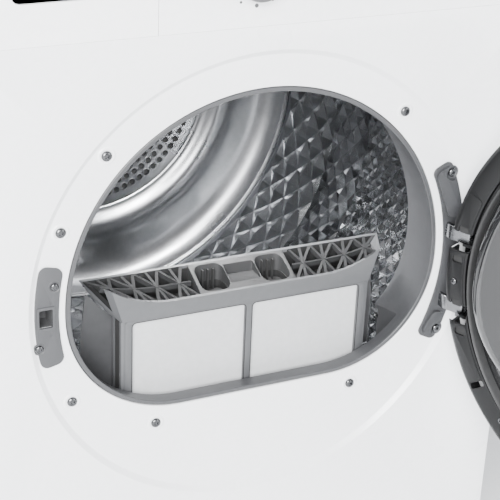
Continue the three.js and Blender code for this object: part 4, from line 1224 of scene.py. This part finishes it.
class DRYER_OT_filter_case(bpy.types.Operator):
    """Frame of the lint filter with its two screened windows"""

    bl_idname = "dryer.filter_case"
    bl_label = "Filter frame"

    def execute(self, context):
        low, high = cad("filter_frame")
        wall = 3.0
        case = softened(block(low, high), 1.6, 3)
        inner = block((low.x + wall, low.y + wall, low.z + wall), (high.x - wall, high.y - wall, high.z + 9))
        windows = []
        for side in (-1, 1):
            near, far = sorted((side * 4, side * 128))
            windows.append(plate(
                "XZ", rounded((near, low.z + 12), (far, high.z - 3), 4, 4), low.y - 5, high.y + 5))
        grooves = []
        for side in (-1, 1):
            for y in (low.y + 6, high.y - 7):
                near, far = sorted((side * (high.x - 0.9), side * (high.x + 1)))
                grooves.append(block((near, y, low.z + 6), (far, y + 1.4, high.z - 2)))
        combined(case, [inner, *grooves])
        bezel = plate("XZ", rounded((low.x + 4.2, low.z + 3.4), (high.x - 4.2, high.z - 0.4), 3), low.y - 0.8,
                      low.y + 1.2)
        back_bezel = shifted(copied(bezel), 0, high.y - low.y - 0.4, 0)
        combined(case, [bezel, back_bezel], "UNION")
        combined(case, windows)
        softened(case, 0.35, 2, 50)
        put(case, "filter_case", finish("filter"), "filter", 30, ["filter_frame"])
        # Near-black lines round the windows and strips on the frame's side faces: painted shade at the window edges and
        # on the side walls.
        lines = []
        for side in (-1, 1):
            near, far = sorted((side * 4, side * 128))
            line = plate("XZ", rounded((near - 0.9, low.z + 11.1), (far + 0.9, high.z - 2.1), 4.9, 4),
                         low.y - 0.86, low.y - 0.5)
            lines.append(combined(line, [plate("XZ", rounded((near, low.z + 12), (far, high.z - 3), 4, 4),
                                               low.y - 2, low.y + 1)]))
            face = sorted((side * (high.x + 0.05), side * (high.x - 0.5)))
            lines.append(block((face[0], low.y + 5, low.z + 5), (face[1], high.y - 9, high.z - 1)))
        put(joined(lines), "filter_case_painted_shade_lines", finish("hollow"), "filter", 30)
        return {"FINISHED"}


# ---- Latch and hinge ----
class DRYER_OT_latch_plate(bpy.types.Operator):
    """Latch plate in the door seat, with the catch opening and its two screws"""

    bl_idname = "dryer.latch_plate"
    bl_label = "Latch plate"

    def execute(self, context):
        inner, outer = mm("mouth_radius") + 7, mm("seat_radius") - 1
        front = SEAT - 1.8
        sheet = plate("XZ", sector(inner, outer, 180, 13.5, 8, 0, MOUTH_Z), front, SEAT - 0.3)
        corners_rounded(sheet, Vector((0, 1, 0)), 8)
        catch = cad("door_lock")
        middle = (catch[0].x + catch[1].x) / 2
        frame_low, frame_high = (middle - 9, MOUTH_Z - 12.5), (middle + 9, MOUTH_Z + 12.5)
        rim = plate("XZ", rounded(frame_low, frame_high, 2), SEAT - 3.0, SEAT - 0.6)
        combined(sheet, [rim], "UNION")
        hole = plate("XZ", rounded((middle - 6.6, MOUTH_Z - 9.6), (middle + 6.6, MOUTH_Z + 9.6), 1.5), SEAT - 9, SEAT + 5)
        marks = []
        for side in (-1, 1):
            x, z = middle + 5, MOUTH_Z + side * 17.5
            marks.append(plate("XZ", rounded((x - 1, z - 2.4), (x + 1, z + 2.4), 0.9, 3), front - 1, front + 0.5))
        combined(sheet, [hole, *marks])
        softened(sheet, 0.4, 2)
        put(sheet, "latch_cover", finish("plate"), "cabinet", 30, ["latch_plate"])
        places = [
            (-215.9, front, MOUTH_Z + 32.3), (-231.8, front, MOUTH_Z - 31.3)]
        put(spread(lambda: washer(4.4, 6.4, 0.7), places), "latch_screw_rings", finish("plate"),
            "cabinet", 50)
        put(spread(lambda: screw(3.9, 2.0), places), "latch_screws", finish("screw"),
            "cabinet", 40)
        return {"FINISHED"}


class DRYER_OT_hinge(bpy.types.Operator):
    """Hinge plate with its raised lobes, its two curved arms and their pins"""

    bl_idname = "dryer.hinge"
    bl_label = "Door hinge"

    def execute(self, context):
        inner, outer = mm("mouth_radius") + 7, mm("seat_radius") - 1
        front = SEAT - 2.3
        sheet = plate("XZ", sector(inner, outer, 0, 26.5, 14, 0, MOUTH_Z), front, SEAT - 0.3)
        corners_rounded(sheet, Vector((0, 1, 0)), 7)
        softened(sheet, 0.5, 2)
        lobes = []
        for turn in (1, -1):
            wide, slim = (25.4, 10.5) if turn > 0 else (25.4, 18.2)
            corners = [around(inner + 2.4, turn * wide, 0), around(outer - 1.8, turn * wide, 0),
                       around(outer - 3.2, turn * slim, 0), around(inner + 5.5, turn * slim, 0)]
            lobe = plate("XZ", polygon([(p[0], p[2]) for p in corners]), front - 3.6, front + 0.5)
            corners_rounded(lobe, Vector((0, 1, 0)), 6)
            combined(lobe, [plate("XZ", ring(8.2, 1.04 * mm("mouth_radius"), MOUTH_Z + turn * 0.445 * mm("mouth_radius")),
                                  front - 10, front - 0.2)])
            lobes.append(softened(lobe, 2.2, 4, 60))
        joined_plate = joined([sheet, *lobes])
        put(joined_plate, "hinge_cover", finish("painted steel"), "cabinet", 45, ["hinge_plate"])

        arms = []
        pin = cad("hinge_pin")
        axis_x, axis_y = HINGE.x, HINGE.y
        for z in ARMS:
            outline = ((axis_x - 6 * 0.72, axis_y - 6 * 0.69), [
                (axis_x, axis_y, 200, 22),
                (axis_x - 4.2, axis_y + 9.0), (inner + 6.6, SEAT - 9.2), (inner + 5.2, SEAT - 6.4),
                (inner + 5.0, SEAT - 1), (inner + 0.7, SEAT - 1), (inner + 0.7, SEAT - 9.5),
                (inner + 1.6, SEAT - 13.5), (inner + 4.2, SEAT - 17.2),
                (axis_x - 6 * 0.72, axis_y - 6 * 0.69)])
            arm = plate("XY", outline, z - ARM_HEIGHT / 2, z + ARM_HEIGHT / 2)
            softened(arm, 1.0, 3, 40)
            arms.append(arm)
        pins = lathe([(0, pin[0].z), (2.4, pin[0].z), (3, pin[0].z + 0.6), (3, pin[1].z - 0.6),
                      (2.4, pin[1].z), (0, pin[1].z)], x=axis_x, y=axis_y, steps=24)
        put(joined(arms), "hinge_arms", finish("bright steel"), "cabinet", 35)
        put(pins, "hinge_rod", finish("screw"), "cabinet", 35, ["hinge_pin"])
        radius = mm("mouth_radius")
        places = [(1.04 * radius, front, MOUTH_Z + side * 0.445 * radius) for side in (1, -1)]
        put(spread(lambda: washer(5.0, 7.6, 1.0), places), "hinge_screw_rings", finish("painted steel"),
            "cabinet", 50)
        put(spread(lambda: screw(4.6, 2.8), places), "hinge_screws", finish("screw"),
            "cabinet", 40)
        return {"FINISHED"}


# ---- Door, drawn closed and then swung open ----
def arm_rooms(left, right, spare=5.0):
    """Blocks that leave room for the hinge's arms."""
    return [block((left, HINGE.y - 13, z - ARM_HEIGHT / 2 - spare), (right, SEAT + 2, z + ARM_HEIGHT / 2 + spare))
            for z in ARMS]


class DRYER_OT_door_shell(bpy.types.Operator):
    """Outer ring of the door and its inner cover with the hinge's slots"""

    bl_idname = "dryer.door_shell"
    bl_label = "Door shell"

    def execute(self, context):
        rim = mm("door_radius")
        window = rim - 51
        front = SEAT - 60
        face = SEAT - 7
        chamfer = 4.5
        bottom = face - chamfer
        shell = lathe(closed([
            (rim, bottom), (rim, front + 20), (rim - 1, front + 15.5), (rim - 3, front + 11.4),
            (rim - 6, front + 6.6), (rim - 9.5, front + 2.6), (rim - 13.5, front + 0.4), (rim - 17, front),
            (window + 1.5, front), (window, front + 1.2), (window, front + 3), (rim - 15, front + 3),
            (rim - 9.5, front + 7), (rim - 5.5, front + 13), (rim - 3, front + 21), (rim - 3, bottom)]), z=MOUTH_Z)
        combined(shell, arm_rooms(rim / 2, rim + 10))
        put(opened(shell), "door_rim", finish("white plastic"), "door", 30, ["door_frame"])

        skirt = rim - 3.3
        top = bottom + 0.3
        inner, outer = mm("mouth_radius") + 1, mm("mouth_radius") + 11
        cover = lathe(closed([
            (rim, top), (rim - 0.5, top + 1.4), (rim - chamfer + 0.6, face - 0.3), (rim - chamfer - 0.6, face),
            (outer + 0.9, face), (outer + 0.2, face - 0.3), (outer, face - 1), (outer, SEAT - 13),
            (inner, SEAT - 13), (inner, SEAT - 16),
            (outer + 3, SEAT - 16), (outer + 3, face - 2.5), (skirt - 3.5, face - 2.5),
            (skirt - 2.5, top - 1), (skirt - 2.5, SEAT - 22), (skirt, SEAT - 22), (skirt, top)]), z=MOUTH_Z)
        catch = cad("door_lock")
        middle = (catch[0].x + catch[1].x) / 2
        tools = arm_rooms(mm("mouth_radius") + 4.5, rim + 10, 3.0)
        tools.append(block((middle - 5, SEAT - 30, MOUTH_Z - 9), (middle + 5, SEAT, MOUTH_Z + 9)))
        slots = []
        for z in (40.6, 6.8, -42.8, -74.0):
            reach = math.sqrt(227 ** 2 - z ** 2)
            shape = rounded((reach - 6, MOUTH_Z + z - 4), (reach + 6, MOUTH_Z + z + 4), 2.4, 4)
            tools.append(plate("XZ", shape, face - 5, face + 5))
            slots.append(plate("XZ", shape, face - 6, face - 1.4))
        well = around(227, -34.5, 0)
        slot = plate("XZ", rounded((well[0] - 8, well[2] - 3.4), (well[0] + 8, well[2] + 3.4), 2, 4),
                     face - 5, face + 5)
        tools.append(turned_about(slot, math.radians(32), "Y", (well[0], 0, well[2])))
        panel = plate("XZ", sector(outer + 2.6, rim - 5.2, -6.4, 27.2, 28, 0, MOUTH_Z), face - 2, face + 0.7)
        corners_rounded(panel, Vector((0, 1, 0)), 5)
        combined(cover, [panel], "UNION")
        combined(cover, tools)
        softened(cover, 0.35, 2, 50)
        put(opened(cover), "door_cover", finish("door grey"), "door", 30, ["door_inner_cover"])
        # Near-black backs behind the slots: painted shade inside the slots.
        slot_shade = joined(slots)
        put(opened(slot_shade), "door_slot_painted_shade", finish("hollow"), "door", 30)
        places = [(math.sqrt(231 ** 2 - 19 ** 2) - 2, face + 0.7, MOUTH_Z - 19.0), around(221, -46, face)]
        heads = spread(lambda: screw(3.6, 2.0), [(0, 0, 0), (0, 0, 0)][:1])
        heads.select_set(True)
        turned_about(heads, math.pi, "Z", (0, 0, 0))
        more = [shifted(copied(heads), *place) for place in places]
        bpy.data.objects.remove(heads)
        put(opened(joined(more)), "door_screws", finish("screw"), "door", 40)
        return {"FINISHED"}


class DRYER_OT_door_glass(bpy.types.Operator):
    """Bowl, seal and outer window of the door"""

    bl_idname = "dryer.door_glass"
    bl_label = "Door bowl, seal and window"

    def execute(self, context):
        radius = mm("mouth_radius")
        seal = lathe(closed([
            (radius + 2, SEAT - 12.7), (radius + 6, SEAT - 12.7), (radius + 6, SEAT - 4), (radius + 5.6, SEAT - 1.6),
            (radius + 4.6, SEAT - 0.6), (radius + 3.4, SEAT - 1.2), (radius + 2.4, SEAT - 3)]), z=MOUTH_Z)
        put(opened(seal), "door_gasket", finish("rubber"), "door", 40, ["door_seal"])

        flange = lathe(closed([
            (radius + 0.7, SEAT - 16), (radius + 0.7, SEAT - 13.3), (radius + 0.3, SEAT - 13), (radius - 22, SEAT - 13),
            (radius - 22, SEAT - 16)]), z=MOUTH_Z)
        cup = strips("XZ", [
            (SEAT - 15, mouth(-4.6)), (SEAT - 12.6, mouth(-5.2)), (SEAT - 10, mouth(-6.4)), (SEAT + 2, mouth(-7.2)),
            (SEAT + 9, mouth(-8.2)), (SEAT + 13, mouth(-9.8)), (SEAT + 15.6, mouth(-12.6)),
            (SEAT + 16.7, mouth(-17)), (SEAT + 17, mouth(-24)), (SEAT + 16.2, mouth(-60)),
            (SEAT + 14.6, mouth(-100))], capped=True)
        hollow = strips("XZ", [
            (SEAT - 18, mouth(-9.5)), (SEAT + 9, mouth(-11.5)), (SEAT + 13, mouth(-18)), (SEAT + 13.2, mouth(-60)),
            (SEAT + 11.6, mouth(-100))], capped=True)
        combined(cup, [flange], "UNION")
        combined(cup, [hollow])
        put(opened(cup), "door_cup", finish("lens"), "door", 35, ["door_bowl"])

        edge = mm("door_radius") - 51 - 0.3
        front = SEAT - 60
        level = front + 3.3
        pane = lathe([
            (0, front - 2), (edge * 0.3, front - 1.9), (edge * 0.6, front - 1.4), (edge * 0.8, front - 0.8),
            (edge * 0.94, front - 0.2), (edge - 0.8, front + 0.1), (edge, front + 0.9), (edge, level),
            (edge + 10, level), (edge + 10, level + 2.5), (edge - 2, level + 2.3), (0, level + 1)], z=MOUTH_Z)
        put(opened(pane), "door_pane", finish("window"), "door", 35, ["door_window"])
        return {"FINISHED"}


# ---- Outside of the cabinet ----
class DRYER_OT_side_panels(bpy.types.Operator):
    """Folded side sheets, each with a shallow pressed field"""

    bl_idname = "dryer.side_panels"
    bl_label = "Side panels"

    def execute(self, context):
        for name, side in (("left_side_panel", -1), ("right_side_panel", 1)):
            low, high = cad(name)
            outside, inside = (low.x, high.x) if side < 0 else (high.x, low.x)
            near, far = sorted((outside - side, inside - side * 2))
            sheet = block(low, high)
            room = block((near, low.y - 1, low.z - 1), (far, high.y - 1, high.z + 1))
            facia_low, facia_high = cad("water_tank_front" if side < 0 else "control_panel")
            corner = block((low.x - 2, low.y - 2, facia_low.z - 0.3), (high.x + 2, facia_high.y + 0.3, high.z + 1))
            near, far = sorted((outside + side, outside - side * 0.5))
            field = plate("YZ", rounded((low.y + 65, low.z + 75), (high.y - 65, high.z - 75), 46, 10), near, far)
            combined(sheet, [room, field])
            combined(sheet, [corner])
            softened(sheet, 0.45, 2)
            put(sheet, name + "_sheet", finish("enamel"), "cabinet", 40, [name])
        return {"FINISHED"}


class DRYER_OT_top_cover(bpy.types.Operator):
    """Laminated top cover with its rolled edge"""

    bl_idname = "dryer.top_cover"
    bl_label = "Top cover"

    def execute(self, context):
        low, high = cad("top_cover")
        cover = plate("XY", rounded(low[:2], high[:2], 9, 8), low.z, high.z)
        softened(cover, 3.2, 4, 60)
        put(cover, "top_board", finish("laminate"), "cabinet", 40, ["top_cover"])
        return {"FINISHED"}


class DRYER_OT_rear(bpy.types.Operator):
    """Rear sheet with its louvres, the pressed duct cover and their screws"""

    bl_idname = "dryer.rear"
    bl_label = "Rear panel and duct cover"

    def execute(self, context):
        low, high = cad("rear_panel")
        cover_low, cover_high = cad("rear_duct_cover")
        inlet_low, inlet_high = cad("power_inlet")
        rim = cover_high.x
        steps = context.scene.dryer_sizes.turn_steps
        openings = [
            ring(rim - 37, 0, DRUM_Z, steps),
            rounded((inlet_low.x - 0.3, inlet_low.z - 0.3), (inlet_high.x + 0.3, inlet_high.z + 0.3), 3)]
        for i in range(16):
            x = -236 + 13 * i
            openings.append(rounded((x, 84), (x + 5, 164), 2.5, 4))
        sheet = plate("XZ", rounded((low.x, low.z), (high.x, high.z), 2), low.y, high.y - 0.3, openings)
        softened(sheet, 0.25, 1, 60)
        put(sheet, "rear_sheet", finish("galvanised"), "cabinet", 40, ["rear_panel"])

        back = cover_high.y
        base = cover_low.y
        profile = [
            (0, back - 1.2), (60, back - 1.2), (66, back - 0.6), (74, back), (rim - 61, back), (rim - 58, back - 0.3),
            (rim - 54, back - 1.6), (rim - 30, base + 2.2), (rim - 26.5, base + 1.2), (rim - 24, base + 1),
            (rim - 1, base + 1), (rim, base + 0.6), (rim, base), (rim - 26, base), (rim - 56, back - 2.2),
            (rim - 60, back - 1), (74, back - 1), (60, back - 2.2), (0, back - 2.2)]
        dish = lathe(profile, z=DRUM_Z)
        put(dish, "duct_dish", finish("galvanised"), "cabinet", 40, ["rear_duct_cover"])
        places = [around(rim - 12, 22.5 + 45 * i, base + 1, DRUM_Z) for i in range(8)]
        edge = high.y - 0.3
        places += [(x, edge, z) for x in (-290, 290) for z in (46, 250, 480, 690, 818)]
        places += [(x, edge, z) for x in (-150, 0, 150) for z in (38, 822)]

        def rear_screw():
            return turned_about(screw(4.2, 2.2), math.pi, "Z", (0, 0, 0))

        put(spread(rear_screw, places), "rear_screws", finish("screw"), "cabinet", 40)
        return {"FINISHED"}


FEET = {"front_left": "foot_fl", "front_right": "foot_fr", "rear_left": "foot_rl", "rear_right": "foot_rr"}


class DRYER_OT_feet(bpy.types.Operator):
    """Levelling feet: a ribbed pad, a hexagonal nut and a threaded stem"""

    bl_idname = "dryer.feet"
    bl_label = "Levelling feet"

    def execute(self, context):
        for name in ("front_left", "front_right", "rear_left", "rear_right"):
            low, high = cad("foot_" + name)
            x, y = (low.x + high.x) / 2, (low.y + high.y) / 2
            pad = (high.x - low.x) / 2
            profile = [(0, 0.6), (pad - 5, 0.6), (pad - 4, 0), (pad - 1.2, 0), (pad, 1.4), (pad, 5), (pad - 0.8, 5.6),
                       (pad - 0.8, 6.8), (pad, 7.4), (pad, 10.6), (pad - 1.4, 12), (pad - 9, 13), (5, 13)]
            turns = int((high.z - 14) / 1.8)
            for i in range(turns):
                profile += [(4.9, 13.4 + 1.8 * i), (4.2, 14.3 + 1.8 * i)]
            profile += [(4.2, high.z - 0.6), (3.6, high.z), (0, high.z)]
            foot = lathe(profile, x=x, y=y, steps=32)
            corners = [(x + 8.4 * math.cos(i * math.pi / 3), y + 8.4 * math.sin(i * math.pi / 3)) for i in range(6)]
            nut = softened(plate("XY", polygon(corners), 12.6, 14.8), 0.5, 2)
            put(joined([foot, nut]), "foot_" + name + "_turned", finish("dark plastic"), FEET[name],
                40, ["foot_" + name])
        return {"FINISHED"}


# ---- Controls ----
SEGMENTS = {"0": "abcdef", "1": "bc", "3": "abcdg", "5": "acdfg"}


def digit(character, x, z, y, width=7.0, height=13.0, thick=1.5):
    """One digit of the display, drawn with its seven segments."""
    half = height / 2
    places = {
        "a": (x + 1, z + height - thick, x + width - 1, z + height), "d": (x + 1, z, x + width - 1, z + thick),
        "g": (x + 1, z + half - thick / 2, x + width - 1, z + half + thick / 2),
        "b": (x + width - thick, z + half + 0.6, x + width, z + height - 1),
        "c": (x + width - thick, z + 1, x + width, z + half - 0.6),
        "f": (x, z + half + 0.6, x + thick, z + height - 1), "e": (x, z + 1, x + thick, z + half - 0.6)}
    bars = []
    for key in SEGMENTS[character]:
        left, low, right, high = places[key]
        bars.append(block((left, y, low), (right, y + 0.3, high)))
    return joined(bars)


class DRYER_OT_controls(bpy.types.Operator):
    """Programme knob, buttons, scale marks and the lit display"""

    bl_idname = "dryer.controls"
    bl_label = "Controls"

    def execute(self, context):
        low, high = cad("program_knob")
        x, z = (low.x + high.x) / 2, (low.z + high.z) / 2
        rim, front = (high.x - low.x) / 2, low.y + 0.8
        knob = lathe([
            (0, front + 0.9), (rim - 9, front + 0.9), (rim - 8, front + 0.3), (rim - 6.5, front), (rim - 3, front),
            (rim - 1.4, front + 0.5), (rim - 0.5, front + 1.8), (rim - 0.2, FRONT - 1.6), (rim - 1, FRONT - 0.4),
            (8, FRONT - 0.4), (8, high.y), (0, high.y)], x=x, z=z, steps=96)
        grooves = []
        for i in range(36):
            angle = math.radians(10 * i + 5)
            grooves.append(plate(
                "XZ", ring(1.0, x + (rim + 0.4) * math.cos(angle), z + (rim + 0.4) * math.sin(angle), 8),
                front + 3.2, FRONT - 2))
        combined(knob, [joined(grooves)])
        put(knob, "knob_cap", finish("knob"), "knob", 35, ["program_knob"])
        mark = softened(block((x - 1, front - 0.7, z + rim - 15), (x + 1, front + 1.6, z + rim - 5)), 0.3, 2)
        put(mark, "knob_mark", finish("hollow"), "knob", 35)

        marks = []
        for i in range(12):
            turn = math.radians(30 * i)
            reach = rim + 6
            u, v = x + reach * math.sin(turn), z + reach * math.cos(turn)
            size = 2.0 if i % 3 == 0 else 1.3
            marks.append(plate("XZ", ring(size, u, v, 16), FRONT - 0.15, FRONT + 0.2))
        for name in ("power", "option", "start"):
            box_low, box_high = cad(name + "_button")
            u, v = (box_low.x + box_high.x) / 2, (box_low.z + box_high.z) / 2
            marks.append(plate("XZ", ring(1.4, u, box_high.z + 7, 16), FRONT - 0.15, FRONT + 0.2))
            size = (box_high.x - box_low.x) / 2
            face = box_low.y
            button = lathe([
                (0, face + 0.9), (size * 0.5, face + 0.65), (size * 0.8, face + 0.1), (size - 1, face),
                (size - 0.3, face + 0.3), (size, face + 1), (size, box_high.y), (0, box_high.y)], x=u, z=v, steps=64)
            put(button, name + "_cap", finish("knob"), name + "_key", 35, [name + "_button"])
        put(joined(marks), "scale_marks", finish("dark plastic"), "cabinet", 35)

        low, high = cad("display_window")
        level = low.y - 0.05
        pieces = [digit("1", low.x + 14, low.z + 10, level), digit("3", low.x + 30, low.z + 10, level),
                  digit("0", low.x + 41, low.z + 10, level)]
        for rise in (3.5, 8.0):
            pieces.append(block((low.x + 24.5, level, low.z + 10 + rise), (low.x + 26.2, level + 0.3, low.z + 11.7 + rise)))
        for i in range(5):
            pieces.append(block((low.x + 66 + 8 * i, level, low.z + 12), (low.x + 71 + 8 * i, level + 0.3, low.z + 13.4)))
        put(joined(pieces), "display_digits", finish("lit"), "cabinet", 35)
        return {"FINISHED"}


# ---- Frame pieces whose shape stays, and the studio ----
KEPT = {
    "base_pan": "dark plastic",
    "control_panel": "white plastic", "display_window": "black gloss", "control_board": "board",
    "rear_bulkhead": "zinc", "drum_bearing": "cast metal", "drum_belt": "rubber",
    "roller_axle_left": "bright steel", "roller_axle_right": "bright steel", "drive_motor": "cast metal",
    "blower_housing": "collar", "compressor": "cast metal", "evaporator": "fins", "condenser": "fins",
    "condensate_pump": "dark plastic", "power_inlet": "dark plastic", "door_lock": "dark plastic",
    "idler_bracket": "zinc", "drum_shaft": "bright steel", "door_hook": "zinc", "door_hinge_leaf": "zinc",
    "filter_mesh": "fabric", "water_tank": "tank plastic", "water_tank_front": "white plastic",
    "service_flap": "white plastic",
    "support_roller_left": "rubber", "support_roller_right": "rubber", "motor_rotor": "bright steel",
    "blower_wheel": "collar", "idler_pulley": "dark plastic",
}


class DRYER_OT_kept_pieces(bpy.types.Operator):
    """Gives the frame's own solids their finishes"""

    bl_idname = "dryer.kept_pieces"
    bl_label = "Finishes of the frame's solids"

    def execute(self, context):
        for name, made in KEPT.items():
            piece = frame["nodes"][name]
            piece.data.materials.clear()
            piece.data.materials.append(finish(made))
        return {"FINISHED"}


class DRYER_OT_stage(bpy.types.Operator):
    """Pale floor, soft studio lights and the camera"""

    bl_idname = "dryer.stage"
    bl_label = "Studio"

    def execute(self, context):
        clear()
        bpy.ops.mesh.primitive_plane_add(size=14, location=(0, 0, 0))
        floor = bpy.context.object
        floor.name = "studio_floor"
        floor.data.materials.append(finish("floor"))

        world = bpy.data.worlds.new("Studio")
        context.scene.world = world
        world.use_nodes = True
        backdrop = world.node_tree.nodes["Background"]
        backdrop.inputs["Color"].default_value = (0.9, 0.93, 1.0, 1.0)
        backdrop.inputs["Strength"].default_value = 0.5

        def lamp(name, place, aim, size, power):
            light = bpy.data.lights.new(name, "AREA")
            light.shape = "RECTANGLE"
            light.size, light.size_y = size
            light.energy = power
            holder = bpy.data.objects.new(name, light)
            context.collection.objects.link(holder)
            holder.location = place
            holder.rotation_euler = (Vector(aim) - Vector(place)).to_track_quat("-Z", "Y").to_euler()

        lamp("key", (-1.6, -2.9, 1.9), (0, -0.2, 0.5), (1.9, 1.9), 500)
        lamp("fill", (1.9, -2.2, 1.2), (0, -0.2, 0.5), (2.2, 2.2), 90)
        lamp("back", (0.3, 2.6, 2.4), (0, 0.1, 0.5), (2.0, 1.2), 40)
        lamp("drum", (0.0, -0.19, 0.715), (0.15, 0.12, 0.42), (0.16, 0.03), 10)

        eye = bpy.data.cameras.new("camera")
        eye.lens = 104.1
        eye.sensor_width = 36.0
        eye.clip_end = 60.0
        holder = bpy.data.objects.new("camera", eye)
        context.collection.objects.link(holder)
        right, up, ahead = (0.9076, -0.4180, 0.0391), (0.1448, 0.3990, 0.9055), (0.3941, 0.8161, -0.4226)
        rows = [(right[i], up[i], -ahead[i]) for i in range(3)]
        holder.matrix_world = Matrix.Translation((-0.5779, -1.4632, 1.0974)) @ Matrix(rows).to_4x4()
        context.scene.camera = holder
        return {"FINISHED"}


class DRYER_PT_pieces(bpy.types.Panel):
    """Sizes, colours and the operators that model each piece"""

    bl_idname = "DRYER_PT_pieces"
    bl_label = "Clothes dryer"
    bl_space_type = "VIEW_3D"
    bl_region_type = "UI"
    bl_category = "Dryer"

    def draw(self, context):
        layout = self.layout
        for settings in (context.scene.dryer_sizes, context.scene.dryer_colours):
            box = layout.box()
            for name in settings.bl_rna.properties.keys():
                if name not in ("rna_type", "name"):
                    box.prop(settings, name)
        for operator in OPERATORS:
            layout.operator(operator.bl_idname)


OPERATORS = [
    DRYER_OT_stage, DRYER_OT_kept_pieces, DRYER_OT_front_panel, DRYER_OT_seat_screws, DRYER_OT_bulkhead,
    DRYER_OT_felt_seal, DRYER_OT_drum_wall, DRYER_OT_drum_back, DRYER_OT_lifters, DRYER_OT_filter_head,
    DRYER_OT_filter_case, DRYER_OT_latch_plate, DRYER_OT_hinge, DRYER_OT_door_shell, DRYER_OT_door_glass,
    DRYER_OT_side_panels, DRYER_OT_top_cover, DRYER_OT_rear, DRYER_OT_feet, DRYER_OT_controls,
]
CLASSES = [DryerSizes, DryerColours, *OPERATORS, DRYER_PT_pieces]


def register():
    for kind in CLASSES:
        bpy.utils.register_class(kind)
    bpy.types.Scene.dryer_sizes = PointerProperty(type=DryerSizes)
    bpy.types.Scene.dryer_colours = PointerProperty(type=DryerColours)


def unregister():
    del bpy.types.Scene.dryer_colours
    del bpy.types.Scene.dryer_sizes
    for kind in reversed(CLASSES):
        bpy.utils.unregister_class(kind)


def main():
    register()
    for operator in OPERATORS:
        group_name, name = operator.bl_idname.split(".")
        getattr(getattr(bpy.ops, group_name), name)()


if __name__ == "__main__":
    main()
